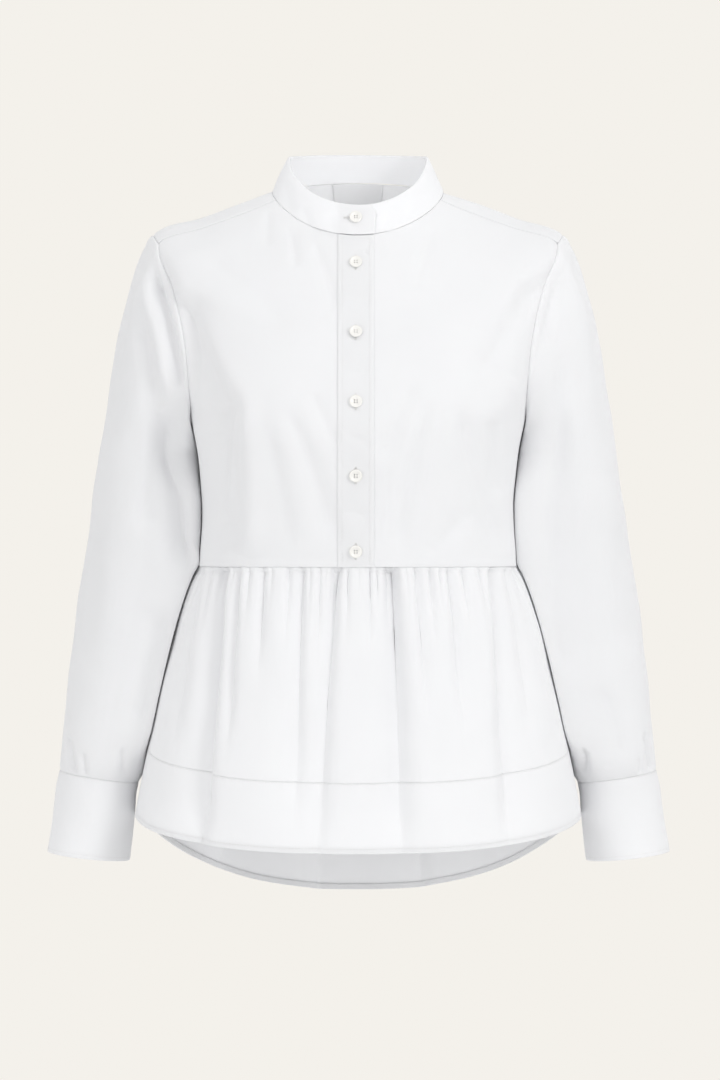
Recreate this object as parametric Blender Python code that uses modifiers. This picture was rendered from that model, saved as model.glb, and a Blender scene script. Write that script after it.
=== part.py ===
"""A white cotton blouse with a stand collar, a button placket, set-in sleeves with
barrel cuffs and a gathered peplum, hollow as when it is worn.

Metres. +Z is up, +X is the wearer's left and -Y is the front. The origin is the middle of
the neck base, level with the points where the shoulders meet the neck.
"""

import math
from collections import namedtuple

import bpy
import numpy as np
from mathutils import Vector

# Cloth
CLOTH = 0.0010
COLLAR_CLOTH = 0.0018
BAND_CLOTH = 0.0014
SEAM_GAP = 0.0003
ARMHOLE_GAP = 0.0005
UNDERARM_CLEARANCE = 0.002

# Levels and lengths down the centre
WAIST_Z = -0.358
SIDE_HEM_Z = -0.596
FRONT_HEM_DROP = 0.0245
BACK_HEM_DROP = 0.086
HEM_BAND_DEPTH = 0.064

# Front closure, the wearer's right side laps over
PLACKET_RIGHT_X = -0.0187
PLACKET_LEFT_X = 0.0150
UNDERLAP_X = -0.0152
PLACKET_TOP_LEVEL = 0.07
COLLAR_END_RADIUS = 0.012
COLLAR_LAP_START = 306.0
COLLAR_LAP_RISE = 29.0

# Seams of the yoke, as degrees round the body from the centre front
YOKE_SEAM_AT_NECK = 73.0
YOKE_SEAM_AT_TIP = 75.0

# Armhole half width, as degrees either side of the side seam
ARMHOLE_AT_TIP = 15.0
ARMHOLE_WIDEST = 26.0
ARMHOLE_CURVE = 0.7

# Rows of BODY that carry the main seams
NECK = 0
TIP = 3
WIDEST = 5
UNDERARM = 7
WAIST = 10
TIP_GAP = 0.012

# Rows that the fronts and the yoke share, and rows where the fronts, the back and the
# sleeves share points along the armhole
YOKE_LEVELS = (0.03, 0.45, 0.9, 1.4, 2.2)
ARMHOLE_LEVELS = (3.5, 4.0, 4.5, 5.0, 5.5, 6.0, 6.4, 6.7, 6.88, 6.97)

# Body rings from the neck seam to the waist seam. Each is a rounded oval with its own
# front, side and back heights, and dip says how fast it falls away from the side.
Ring = namedtuple("Ring", "half_width front_y side_y back_y front_z side_z back_z squareness dip")
BODY = (
    Ring(0.0815, -0.0730, -0.006, 0.062, -0.047, 0.0000, 0.016, 2.00, 1.3),
    Ring(0.1120, -0.0885, -0.003, 0.078, -0.079, -0.0105, -0.012, 2.05, 1.4),
    Ring(0.1520, -0.0985, 0.000, 0.090, -0.105, -0.0250, -0.045, 2.10, 1.5),
    Ring(0.1955, -0.1080, 0.002, 0.098, -0.130, -0.0410, -0.079, 2.15, 1.6),
    Ring(0.1885, -0.1185, 0.003, 0.103, -0.154, -0.0800, -0.110, 2.25, 1.7),
    Ring(0.1800, -0.1290, 0.003, 0.106, -0.183, -0.1250, -0.147, 2.40, 1.8),
    Ring(0.1710, -0.1355, 0.003, 0.108, -0.212, -0.1710, -0.184, 2.50, 1.9),
    Ring(0.1610, -0.1380, 0.002, 0.108, -0.238, -0.2130, -0.218, 2.50, 2.0),
    Ring(0.1525, -0.1345, 0.001, 0.104, -0.270, -0.2535, -0.257, 2.45, 2.0),
    Ring(0.1492, -0.1275, 0.000, 0.099, -0.312, -0.3060, -0.307, 2.40, 2.0),
    Ring(0.1522, -0.1200, 0.000, 0.095, WAIST_Z, WAIST_Z, WAIST_Z, 2.35, 2.0),
)
COLLAR = (
    Ring(0.0812, -0.0730, -0.006, 0.062, -0.0465, 0.0005, 0.0165, 2.00, 1.3),
    Ring(0.0742, -0.0672, -0.006, 0.0565, -0.0320, 0.0175, 0.0295, 2.00, 1.2),
    Ring(0.0660, -0.0605, -0.006, 0.050, -0.0175, 0.0340, 0.0420, 2.00, 1.05),
)

# Fullness over the chest
CHEST_X = 0.085
CHEST_Z = -0.205
CHEST_REACH = 0.006
CHEST_WIDTH = 0.050
CHEST_HEIGHT = 0.062

# Sleeve sections from the upper arm to the cuff seam, for the wearer's left arm
Section = namedtuple("Section", "middle_z middle_x half_width middle_y half_depth tilt")
ARM = (
    Section(-0.250, 0.2010, 0.0482, 0.028, 0.0600, 0.06),
    Section(-0.305, 0.2035, 0.0535, 0.032, 0.0585, 0.08),
    Section(-0.360, 0.2080, 0.0572, 0.035, 0.0570, 0.10),
    Section(-0.415, 0.2195, 0.0530, 0.035, 0.0545, 0.12),
    Section(-0.470, 0.2310, 0.0482, 0.031, 0.0515, 0.13),
    Section(-0.520, 0.2405, 0.0435, 0.026, 0.0470, 0.14),
    Section(-0.548, 0.2460, 0.0400, 0.022, 0.0425, 0.15),
    Section(-0.5607, 0.2497, 0.0372, 0.020, 0.0388, 0.15),
)
CUFF = (
    Section(-0.5613, 0.2497, 0.0368, 0.020, 0.0384, 0.15),
    Section(-0.6373, 0.2600, 0.0390, 0.018, 0.0400, 0.11),
)
CUFF_LAP = 30.0
CUFF_LAP_AT = 215.0
CUFF_LAP_START = 288.0
CUFF_LAP_RISE = 54.0

# The way the sleeve leaves the armhole, at the shoulder tip and at the underarm
CAP_TOP_PULL = (0.080, -0.060)
CAP_UNDER_PULL = (-0.012, -0.080)
CAP_FORWARD_PULL = 0.008
CAP_END_PULL_TOP = 0.16
CAP_END_PULL_UNDER = 0.056

# Peplum
HEM_HALF_WIDTH = 0.2134
HEM_FRONT_Y = -0.152
HEM_BACK_Y = 0.134
FLARE_POWER = 0.70
GATHERS_PER_HALF = 30
GATHER_DEPTH = 0.0016
GATHER_FADE = 0.16
Wave = namedtuple("Wave", "half_turns height start")
GATHER_SPACING = (Wave(10, 0.0060, 0.0), Wave(22, 0.0035, 0.0))
GATHER_UNEVENNESS = (Wave(8, 0.30, 0.6), Wave(18, 0.20, 0.0))
GATHER_PINCH = 0.55
GATHER_PINCH_DEPTH = 0.03
GATHER_SIDE_MARGIN = 0.02
HEM_ROUNDING = 0.15
BACK_HEM_POWER = 1.2
BETWEEN_GATHERS = 0.25
GATHER_ROOM_START = 0.004

# Long folds of the peplum: where each starts at the waist and ends at the hem,
# how deep and how wide it is, and how far down the peplum it reaches
Fold = namedtuple("Fold", "waist_x hem_x depth width reach")
FOLD_START = 0.12
FOLD_FADE = 0.35
FOLD_SPREAD = 1.2
FRONT_FOLDS = (
    Fold(-0.1480, -0.1900, 0.0050, 0.011, 0.75),
    Fold(-0.1300, -0.1540, 0.0080, 0.013, 1.15),
    Fold(-0.1130, -0.1260, 0.0035, 0.008, 0.60),
    Fold(-0.0530, -0.0620, 0.0045, 0.009, 0.85),
    Fold(-0.0160, -0.0370, 0.0060, 0.014, 1.20),
    Fold(0.0350, 0.0440, 0.0075, 0.013, 1.20),
    Fold(0.0550, 0.0700, 0.0035, 0.008, 0.50),
    Fold(0.0860, 0.1050, 0.0040, 0.009, 0.60),
    Fold(0.1290, 0.1430, 0.0060, 0.013, 1.15),
    Fold(0.1480, 0.1850, 0.0045, 0.011, 0.70),
)
BACK_FOLDS = (
    Fold(-0.1420, -0.1850, 0.0050, 0.012, 0.80),
    Fold(-0.1080, -0.1400, 0.0070, 0.014, 1.15),
    Fold(-0.0660, -0.0820, 0.0040, 0.009, 0.70),
    Fold(-0.0290, -0.0400, 0.0060, 0.013, 1.20),
    Fold(0.0120, 0.0170, 0.0040, 0.009, 0.60),
    Fold(0.0480, 0.0650, 0.0070, 0.014, 1.20),
    Fold(0.0880, 0.1120, 0.0045, 0.010, 0.80),
    Fold(0.1360, 0.1750, 0.0060, 0.013, 1.10),
)

# Buttons
BUTTON_RADIUS = 0.0060
BUTTON_HEIGHT = 0.0026
BUTTON_DISH = 0.0009
BUTTON_RIM = 0.0013
BUTTON_TOP_ROUNDING = 0.00039
BUTTON_UNDER_ROUNDING = 0.00065
BUTTON_WIDEST_HEIGHT = 0.00156
BUTTON_SIDES = 12
PLACKET_BUTTON_LEVELS = (-0.0747, -0.1413, -0.2062, -0.2735, -0.3432)
BUTTON_X = -0.0020
COLLAR_BUTTON_Z = -0.0315
CUFF_BUTTON_DROP = 0.5

# Neck patch inside the back of the yoke
PATCH_TOP_HALF = 0.0252
PATCH_BOTTOM_HALF = 0.0220

# Columns and rows of each grid of points
LEFT_FRONT_COLUMNS = 10
RIGHT_FRONT_COLUMNS = 9
BACK_COLUMNS = 19
YOKE_SHOULDER_COLUMNS = 5
YOKE_BACK_COLUMNS = 17
PLACKET_COLUMNS = 4
COLLAR_ROWS = 4
COLLAR_COLUMNS = 45
CAP_ROWS = 6
ARM_ROWS = 8
CUFF_COLUMNS = 27
STEPS_PER_GATHER = 4
HEM_BAND_COLUMNS = 61
PATCH_COLUMNS = 7

# Rows of the peplum above its band, and of the band, as shares of the way down
PEPLUM_ROWS = (0.0, 0.06, 0.16, 0.36, 0.66, 1.0)
HEM_BAND_ROWS = (0.0, 0.5, 1.0)
CUFF_ROWS = (0.0, 0.5, 1.0)

# Colours and finish
COTTON = (0.93, 0.93, 0.94, 1.0)
COTTON_ROUGHNESS = 0.85
BUTTON_WHITE = (0.93, 0.92, 0.89, 1.0)
BUTTON_ROUGHNESS = 0.35


def clear_scene():
    for item in list(bpy.data.objects):
        bpy.data.objects.remove(item, do_unlink=True)


def material(name, colour, roughness):
    made = bpy.data.materials.new(name)
    made.use_nodes = True
    shader = made.node_tree.nodes["Principled BSDF"]
    shader.inputs["Base Color"].default_value = colour
    shader.inputs["Roughness"].default_value = roughness
    shader.inputs["Metallic"].default_value = 0.0
    return made


def between(table, at):
    """The table's columns at a fractional row, on a smooth curve through its rows."""
    rows = np.array(table)
    at = np.clip(np.asarray(at, float), 0, len(rows) - 1)
    low = np.minimum(at.astype(int), len(rows) - 2)
    part = (at - low)[..., None]
    before = rows[np.maximum(low - 1, 0)]
    start = rows[low]
    end = rows[low + 1]
    after = rows[np.minimum(low + 2, len(rows) - 1)]
    pull_start = (end - before) / 2
    pull_end = (after - start) / 2
    return (
        start * (2 * part**3 - 3 * part**2 + 1)
        + end * (3 * part**2 - 2 * part**3)
        + pull_start * (part**3 - 2 * part**2 + part)
        + pull_end * (part**3 - part**2)
    )


def ring_point(table, level, angle):
    """A point of a ring, with the angle in radians from the centre front to the left."""
    columns = np.moveaxis(between(table, level), -1, 0)
    half_width, front_y, side_y, back_y, front_z, side_z, back_z, squareness, dip = columns
    across = np.sin(angle)
    ahead = np.cos(angle)
    reach = np.where(ahead > 0, front_y, back_y) - side_y
    fall = np.where(ahead > 0, front_z, back_z) - side_z
    x = half_width * np.sign(across) * np.abs(across) ** (2 / squareness)
    y = side_y + reach * np.abs(ahead) ** (2 / squareness)
    z = side_z + fall * np.abs(ahead) ** dip
    return np.stack([x, y, z], axis=-1)


def body_point(level, angle):
    """A point of the bodice, with the fullness of the chest added."""
    point = ring_point(BODY, level, angle)
    aside = (np.abs(point[..., 0]) - CHEST_X) / CHEST_WIDTH
    above = (point[..., 2] - CHEST_Z) / CHEST_HEIGHT
    fullness = CHEST_REACH * np.exp(-(aside**2) - above**2)
    point[..., 1] -= np.where(np.cos(angle) > 0, fullness * np.cos(angle), 0.0)
    return point


def angle_at_x(table, level, x):
    """The front angle at which a ring passes a given x."""
    columns = np.moveaxis(between(table, level), -1, 0)
    half_width = columns[Ring._fields.index("half_width")]
    squareness = columns[Ring._fields.index("squareness")]
    share = np.clip(np.abs(x) / half_width, 0, 1) ** (squareness / 2)
    return np.sign(x) * np.arcsin(share)


def armhole_half_angle(level):
    """How far the armhole's edge lies from the side seam, in radians."""
    level = np.asarray(level, float)
    upper = np.clip((level - TIP) / (WIDEST - TIP), 0, 1)
    lower = np.clip((level - WIDEST) / (UNDERARM - WIDEST), 0, 1)
    rise = ARMHOLE_AT_TIP + (ARMHOLE_WIDEST - ARMHOLE_AT_TIP) * np.sin(upper * math.pi / 2) ** ARMHOLE_CURVE
    closing = ARMHOLE_WIDEST * np.sqrt(1 - lower**2)
    return np.radians(np.where(level < WIDEST, rise, closing))


def yoke_seam_angle(level):
    share = np.clip(np.asarray(level, float) / TIP, 0, 1)
    return np.radians(YOKE_SEAM_AT_NECK + (YOKE_SEAM_AT_TIP - YOKE_SEAM_AT_NECK) * share)


def front_edge_angle(level):
    """The outer edge of a front panel: yoke seam, then armhole, then side seam."""
    armhole = math.pi / 2 - armhole_half_angle(level)
    return np.where(np.asarray(level) < TIP, yoke_seam_angle(level), armhole)


def evenly(points, count):
    """The same open line with evenly spaced points."""
    steps = np.linalg.norm(np.diff(points, axis=0), axis=1)
    along = np.concatenate([[0], np.cumsum(steps)])
    wanted = np.linspace(0, along[-1], count)
    return np.stack([np.interp(wanted, along, points[:, k]) for k in range(3)], axis=-1)


def shortened(points, start, end):
    """The same open line with a length taken off each end."""
    steps = np.linalg.norm(np.diff(points, axis=0), axis=1)
    along = np.concatenate([[0], np.cumsum(steps)])
    kept = (along > start) & (along < along[-1] - end)
    limits = [start, along[-1] - end]
    tips = np.stack([np.interp(limits, along, points[:, k]) for k in range(3)], axis=-1)
    return np.concatenate([tips[:1], points[kept], tips[1:]])


def edge_trim(level):
    """How far a panel's edge stays back from its seam."""
    return ARMHOLE_GAP if TIP < level < UNDERARM + 0.01 else SEAM_GAP / 2


def body_rows(levels, start_angle, end_angle, count, open_start=False):
    """Rows of bodice points between two angles, trimmed for the seams at their ends."""
    rows = []
    for level in levels:
        sweep = np.linspace(start_angle(level), end_angle(level), 401)
        line = body_point(np.full_like(sweep, level), sweep)
        trim = edge_trim(level)
        rows.append(evenly(shortened(line, 0.0 if open_start else trim, trim), count))
    return np.array(rows)


def normals(grid, wraps=False):
    """Unit normals of a grid of points, on the side that the columns turn to."""
    if wraps:
        across = np.roll(grid, -1, axis=1) - np.roll(grid, 1, axis=1)
    else:
        across = np.gradient(grid, axis=1)
    down = np.gradient(grid, axis=0)
    normal = np.cross(down, across)
    return normal / np.linalg.norm(normal, axis=-1, keepdims=True)


def lifted(grid, distance):
    return grid + normals(grid) * distance


def mirrored(grid):
    """The same piece on the other side, with its columns turned to keep it outside out."""
    return grid[:, ::-1] * np.array([-1.0, 1.0, 1.0])


def cloth_piece(name, grid, thickness, look, home, wraps=False):
    """A wall of cloth through a grid of points, which runs down and to the wearer's left."""
    rows, columns = grid.shape[:2]
    mesh = bpy.data.meshes.new(name)
    faces = []
    for row in range(rows - 1):
        for column in range(columns if wraps else columns - 1):
            after = (column + 1) % columns
            here = row * columns
            below = here + columns
            faces.append((here + column, below + column, below + after, here + after))
    mesh.from_pydata(grid.reshape(-1, 3).tolist(), [], faces)
    mesh.shade_smooth()
    mesh.materials.append(look)
    made = bpy.data.objects.new(name, mesh)
    home.objects.link(made)
    wall = made.modifiers.new("Cloth thickness", "SOLIDIFY")
    wall.thickness = thickness
    wall.offset = 0.0
    return made


def front_levels():
    """The rows of a front panel, closer together where the armhole turns under the arm."""
    lower = np.linspace(UNDERARM, WAIST, 6)
    return np.concatenate([YOKE_LEVELS, [TIP], ARMHOLE_LEVELS, lower])


def front_grid(centre_x, columns):
    levels = front_levels()
    grid = body_rows(
        levels,
        lambda level: angle_at_x(BODY, level, centre_x),
        front_edge_angle,
        columns,
        open_start=True,
    )
    grid[-1, :, 2] += SEAM_GAP
    return grid


def build_fronts(look, home):
    left = front_grid(UNDERLAP_X + SEAM_GAP, LEFT_FRONT_COLUMNS)
    right = mirrored(front_grid(-UNDERLAP_X + SEAM_GAP, RIGHT_FRONT_COLUMNS))
    cloth_piece("front_left", left, CLOTH, look, home)
    cloth_piece("front_right", right, CLOTH, look, home)


def build_yoke(look, home):
    """One piece over both shoulders, with more columns where it meets the sleeves."""
    rows = []
    for level in (*YOKE_LEVELS, TIP - TIP_GAP):
        seam = float(yoke_seam_angle(level)) + SEAM_GAP / 2 / BODY[NECK].half_width
        shoulder = np.linspace(seam, math.pi - seam, YOKE_SHOULDER_COLUMNS)
        across = np.linspace(math.pi - seam, math.pi + seam, YOKE_BACK_COLUMNS)[1:-1]
        angles = np.concatenate([shoulder, across, 2 * math.pi - shoulder[::-1]])
        rows.append(body_point(np.full_like(angles, level), angles))
    cloth_piece("yoke", np.array(rows), CLOTH, look, home)


def build_back(look, home):
    grid = body_rows(
        np.concatenate([[TIP + TIP_GAP], ARMHOLE_LEVELS, np.linspace(UNDERARM, WAIST, 5)]),
        lambda level: math.pi / 2 + armhole_half_angle(level),
        lambda level: 3 * math.pi / 2 - armhole_half_angle(level),
        BACK_COLUMNS,
    )
    grid[-1, :, 2] += SEAM_GAP
    cloth_piece("back", grid, CLOTH, look, home)


def placket_grid():
    levels = front_levels()
    levels[0] = PLACKET_TOP_LEVEL
    across = np.linspace(PLACKET_RIGHT_X, PLACKET_LEFT_X, PLACKET_COLUMNS)
    level, x = np.meshgrid(levels, across, indexing="ij")
    grid = body_point(level, angle_at_x(BODY, level, x))
    grid[-1, :, 2] += SEAM_GAP
    return lifted(grid, (CLOTH + BAND_CLOTH) / 2 + 2 * SEAM_GAP)


def collar_lift(turn):
    """How far the lapping end of the collar stands off the end beneath it."""
    share = np.clip((np.degrees(turn) - COLLAR_LAP_START) / COLLAR_LAP_RISE, 0, 1)
    return (COLLAR_CLOTH + SEAM_GAP) * share**2 * (3 - 2 * share)


def collar_grid():
    """The band from its end beneath, round the back, to its lapping end with a round corner."""
    top_row = len(COLLAR) - 1
    turns = np.linspace(0, 1, COLLAR_COLUMNS)
    grid = []
    for share in np.linspace(1, 0, COLLAR_ROWS):
        level = np.full_like(turns, share * top_row)
        start = angle_at_x(COLLAR, level[0], PLACKET_RIGHT_X)
        end = 2 * math.pi + angle_at_x(COLLAR, level[0], PLACKET_LEFT_X)
        angle = start + (end - start) * turns
        from_end = np.clip(COLLAR_END_RADIUS - (end - angle) * -COLLAR[0].front_y, 0, None)
        fall = COLLAR_END_RADIUS - np.sqrt(COLLAR_END_RADIUS**2 - from_end**2)
        height = COLLAR[top_row].front_z - COLLAR[0].front_z
        kept = 1 - fall / height
        point = ring_point(COLLAR, level * kept, angle)
        outward = point * np.array([1.0, 1.0, 0.0])
        outward /= np.linalg.norm(outward, axis=-1, keepdims=True)
        grid.append(point + outward * collar_lift(angle)[:, None])
    return np.array(grid)


def arm_point(table, level, turn):
    """A point of a sleeve section, from the inner side by the front to the outer side."""
    columns = np.moveaxis(between(table, level), -1, 0)
    middle_z, middle_x, half_width, middle_y, half_depth, tilt = columns
    outward = -np.cos(turn) * half_width
    x = middle_x + outward
    y = middle_y - np.sin(turn) * half_depth
    return np.stack([x, y, middle_z + tilt * outward], axis=-1)


def armhole_loop():
    """The armhole seam of the wearer's left side, from the underarm up the front, through
    the points that the panels' rows share, and how far round the seam each of them is."""
    levels = np.array([UNDERARM, *ARMHOLE_LEVELS[::-1], TIP])
    half = armhole_half_angle(levels)
    front = body_point(levels, math.pi / 2 - half)
    over = np.linspace(-half[-1], half[-1], 5)[1:-1]
    top = body_point(np.full_like(over, TIP), math.pi / 2 + over)
    back = body_point(levels, math.pi / 2 + half)[:0:-1]
    loop = np.concatenate([front, top, back])
    steps = np.linalg.norm(np.roll(loop, -1, axis=0) - loop, axis=1)
    return loop, np.concatenate([[0], np.cumsum(steps)[:-1]]) / steps.sum()


def side_reach(y, z):
    """The half width of the bodice and peplum at a depth and height."""
    heights = -np.array([row.side_z for row in BODY[UNDERARM:]])
    level = UNDERARM + np.interp(-z, heights, range(len(heights)))
    columns = np.moveaxis(between(BODY, level), -1, 0)
    half_width, front_y, side_y, back_y = columns[:4]
    squareness = columns[Ring._fields.index("squareness")]
    down = np.clip((WAIST_Z - z) / (WAIST_Z - SIDE_HEM_Z), 0, 1) ** FLARE_POWER
    half_width = half_width + (HEM_HALF_WIDTH - BODY[WAIST].half_width) * down
    front_y = front_y + (HEM_FRONT_Y - BODY[WAIST].front_y) * down
    back_y = back_y + (HEM_BACK_Y - BODY[WAIST].back_y) * down
    depth = np.where(y > side_y, (y - side_y) / (back_y - side_y), (y - side_y) / (front_y - side_y))
    return half_width * (1 - np.clip(depth, 0, 1) ** squareness) ** (1 / squareness)


def pressed_out(grid):
    """Moves the sleeve off the bodice and peplum that it hangs against."""
    room = CLOTH + 2 * SEAM_GAP
    folds = np.where(grid[..., 2] < WAIST_Z + GATHER_ROOM_START, 2 * GATHER_DEPTH, 0.0)
    below = grid[..., 2] < BODY[UNDERARM].side_z - UNDERARM_CLEARANCE
    least = side_reach(grid[..., 1], grid[..., 2]) + room + folds
    moved = grid.copy()
    moved[..., 0] = np.where(below, np.maximum(grid[..., 0], least), grid[..., 0])
    return moved


def sleeve_grid():
    """The wearer's left sleeve: a cap from the armhole, then the arm down to the cuff."""
    seam, around = armhole_loop()
    turn = 2 * math.pi * around
    columns = len(turn)
    first = arm_point(ARM, np.zeros(columns), turn)
    height = (1 - np.cos(turn)) / 2
    pull_x = CAP_UNDER_PULL[0] + (CAP_TOP_PULL[0] - CAP_UNDER_PULL[0]) * height
    pull_z = CAP_UNDER_PULL[1] + (CAP_TOP_PULL[1] - CAP_UNDER_PULL[1]) * height
    pull = np.stack([pull_x, -CAP_FORWARD_PULL * np.sin(turn), pull_z], axis=-1)
    seam = seam + ARMHOLE_GAP * pull / np.linalg.norm(pull, axis=-1, keepdims=True)
    seam[:, 0] += (CLOTH + SEAM_GAP) * (1 - height) ** 2
    end_pull = arm_point(ARM, np.full(columns, 0.02), turn) - first
    end_pull = end_pull / np.linalg.norm(end_pull, axis=-1, keepdims=True)
    reach = CAP_END_PULL_UNDER + (CAP_END_PULL_TOP - CAP_END_PULL_UNDER) * height
    end_pull = end_pull * reach[:, None]
    rows = []
    for share in np.linspace(0, 1, CAP_ROWS, endpoint=False):
        rows.append(
            seam * (2 * share**3 - 3 * share**2 + 1)
            + first * (3 * share**2 - 2 * share**3)
            + pull * (share**3 - 2 * share**2 + share)
            + end_pull * (share**3 - share**2)
        )
    for level in np.linspace(0, len(ARM) - 1, ARM_ROWS):
        rows.append(arm_point(ARM, np.full(columns, level), turn))
    grid = np.array(rows)
    grid[1:] = pressed_out(grid[1:])
    return grid


def cuff_grid():
    """The wearer's left cuff, with its end lapped over at the outer back."""
    past_start = np.linspace(0, 360 + CUFF_LAP, CUFF_COLUMNS)
    turn = np.radians(CUFF_LAP_AT + past_start)
    share = np.clip((past_start - CUFF_LAP_START) / CUFF_LAP_RISE, 0, 1)
    lift = (BAND_CLOTH + SEAM_GAP) * share**2 * (3 - 2 * share)
    rows = []
    for level in CUFF_ROWS:
        point = arm_point(CUFF, np.full_like(turn, level), turn)
        middle = arm_point(CUFF, np.full_like(turn, level), turn + math.pi)
        outward = (point - middle) * np.array([1.0, 1.0, 0.0])
        outward /= np.linalg.norm(outward, axis=-1, keepdims=True)
        rows.append(point + outward * lift[:, None])
    return np.array(rows)


def waves(rows, share):
    """The sum of slow waves along a seam, which make its gathers uneven."""
    return sum(w.height * np.sin(w.half_turns * math.pi * share + w.start) for w in rows)


def gather_places():
    """Evenly spaced steps of the gathers, as uneven shares of the way round a half."""
    share = np.linspace(0, 1, 2001)
    phase = GATHERS_PER_HALF * (share + waves(GATHER_SPACING, share))
    steps = np.linspace(0, GATHERS_PER_HALF, GATHERS_PER_HALF * STEPS_PER_GATHER + 1)
    return np.interp(steps, phase, share), steps


def hem_share(angle):
    """How far the hem has fallen between the side seam, 0, and the centre, 1."""
    ahead = np.abs(np.cos(angle))
    most = math.sqrt(1 + HEM_ROUNDING**2) - HEM_ROUNDING
    return (np.sqrt(ahead**2 + HEM_ROUNDING**2) - HEM_ROUNDING) / most


def peplum_point(is_back, place, phase, down):
    """A point of the peplum: place is the share of the way round this half, from the
    wearer's right side seam for the front, and down is 0 at the waist and 1 at the hem."""
    sweep = np.linspace(-math.pi / 2, math.pi / 2, 721) + (math.pi if is_back else 0)
    waist = ring_point(BODY, np.full_like(sweep, WAIST), sweep)
    steps = np.linalg.norm(np.diff(waist, axis=0), axis=1)
    along = np.concatenate([[0], np.cumsum(steps)])
    angle = np.interp(place * along[-1], along, sweep)
    flare = down**FLARE_POWER
    squareness = BODY[WAIST].squareness
    half_width = BODY[WAIST].half_width + (HEM_HALF_WIDTH - BODY[WAIST].half_width) * flare
    waist_y = BODY[WAIST].back_y if is_back else BODY[WAIST].front_y
    hem_y = HEM_BACK_Y if is_back else HEM_FRONT_Y
    depth = waist_y + (hem_y - waist_y) * flare
    across = np.sin(angle)
    ahead = np.abs(np.cos(angle))
    x = half_width * np.sign(across) * np.abs(across) ** (2 / squareness)
    y = depth * ahead ** (2 / squareness)
    drop = BACK_HEM_DROP if is_back else FRONT_HEM_DROP
    hem_z = SIDE_HEM_Z - drop * hem_share(angle) ** (BACK_HEM_POWER if is_back else 1)
    z = WAIST_Z + (hem_z - WAIST_Z) * down
    outward = np.stack([x / half_width**2, y / depth**2, np.zeros_like(x)], axis=-1)
    outward /= np.linalg.norm(outward, axis=-1, keepdims=True)
    ripple = GATHER_DEPTH * np.cos(2 * math.pi * phase) * gather_strength(place, down)
    for fold in BACK_FOLDS if is_back else FRONT_FOLDS:
        middle = fold.waist_x + (fold.hem_x - fold.waist_x) * down
        fade = np.clip(down / FOLD_START, 0, 1) * np.clip((fold.reach - down) / FOLD_FADE, 0, 1)
        spread = fold.width * (1 + FOLD_SPREAD * down)
        ripple = ripple - fold.depth * fade * np.exp(-(((x - middle) / spread) ** 2))
    return np.stack([x, y, z], axis=-1) + outward * ripple[..., None]


def gather_strength(place, down):
    """How strongly the gathers show, uneven round the waist and fading downwards."""
    uneven = 1 + waves(GATHER_UNEVENNESS, place)
    pinched = GATHER_PINCH + (1 - GATHER_PINCH) * np.clip(down / GATHER_PINCH_DEPTH, 0, 1)
    at_sides = np.clip(np.minimum(place, 1 - place) / GATHER_SIDE_MARGIN, 0, 1)
    return uneven * pinched * at_sides * np.exp(-down / GATHER_FADE)


def band_seam(is_back, place):
    """The share of the way down at which the hem band is sewn on."""
    ends = peplum_point(is_back, place, np.full_like(place, BETWEEN_GATHERS), np.ones_like(place))
    return 1 - HEM_BAND_DEPTH / (WAIST_Z - ends[..., 2])


def peplum_grid(is_back):
    place, phase = gather_places()
    seam = band_seam(is_back, place)
    trim = SEAM_GAP / (WAIST_Z - SIDE_HEM_Z)
    rows = []
    for share in PEPLUM_ROWS:
        down = np.clip(share * seam, trim, seam - trim)
        rows.append(peplum_point(is_back, place, phase, down))
    return np.array(rows)


def hem_band_grid(is_back):
    place = np.linspace(0, 1, HEM_BAND_COLUMNS)
    seam = band_seam(is_back, place)
    rows = []
    for share in HEM_BAND_ROWS:
        down = seam + (1 - seam) * share
        rows.append(peplum_point(is_back, place, np.full_like(place, BETWEEN_GATHERS), down))
    return np.array(rows)


def open_sides(grid):
    """Pulls both side edges of a half peplum back from the side seams."""
    narrowed = []
    for row in grid:
        inner = row.copy()
        inner[0] += (row[1] - row[0]) / np.linalg.norm(row[1] - row[0]) * SEAM_GAP
        inner[-1] += (row[-2] - row[-1]) / np.linalg.norm(row[-2] - row[-1]) * SEAM_GAP
        narrowed.append(inner)
    return np.array(narrowed)


def build_peplum(look, home):
    for side, is_back in (("front", False), ("back", True)):
        grid = open_sides(peplum_grid(is_back))
        cloth_piece("peplum_" + side, grid, CLOTH, look, home)
        band = open_sides(hem_band_grid(is_back))
        cloth_piece("hem_band_" + side, band, CLOTH, look, home)


def build_patch(look, home):
    """A plain patch that lies on the inside of the yoke below the back of the neck."""
    rows = []
    levels = YOKE_LEVELS[:4]
    for level in levels:
        share = (level - levels[0]) / (levels[-1] - levels[0])
        half = PATCH_TOP_HALF + (PATCH_BOTTOM_HALF - PATCH_TOP_HALF) * share
        reach = float(angle_at_x(BODY, level, half))
        angles = np.linspace(math.pi - reach, math.pi + reach, PATCH_COLUMNS)
        rows.append(body_point(np.full_like(angles, level), angles))
    inside = lifted(np.array(rows), -(CLOTH + 2 * SEAM_GAP))
    cloth_piece("neck_patch", inside, CLOTH, look, home)


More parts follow.
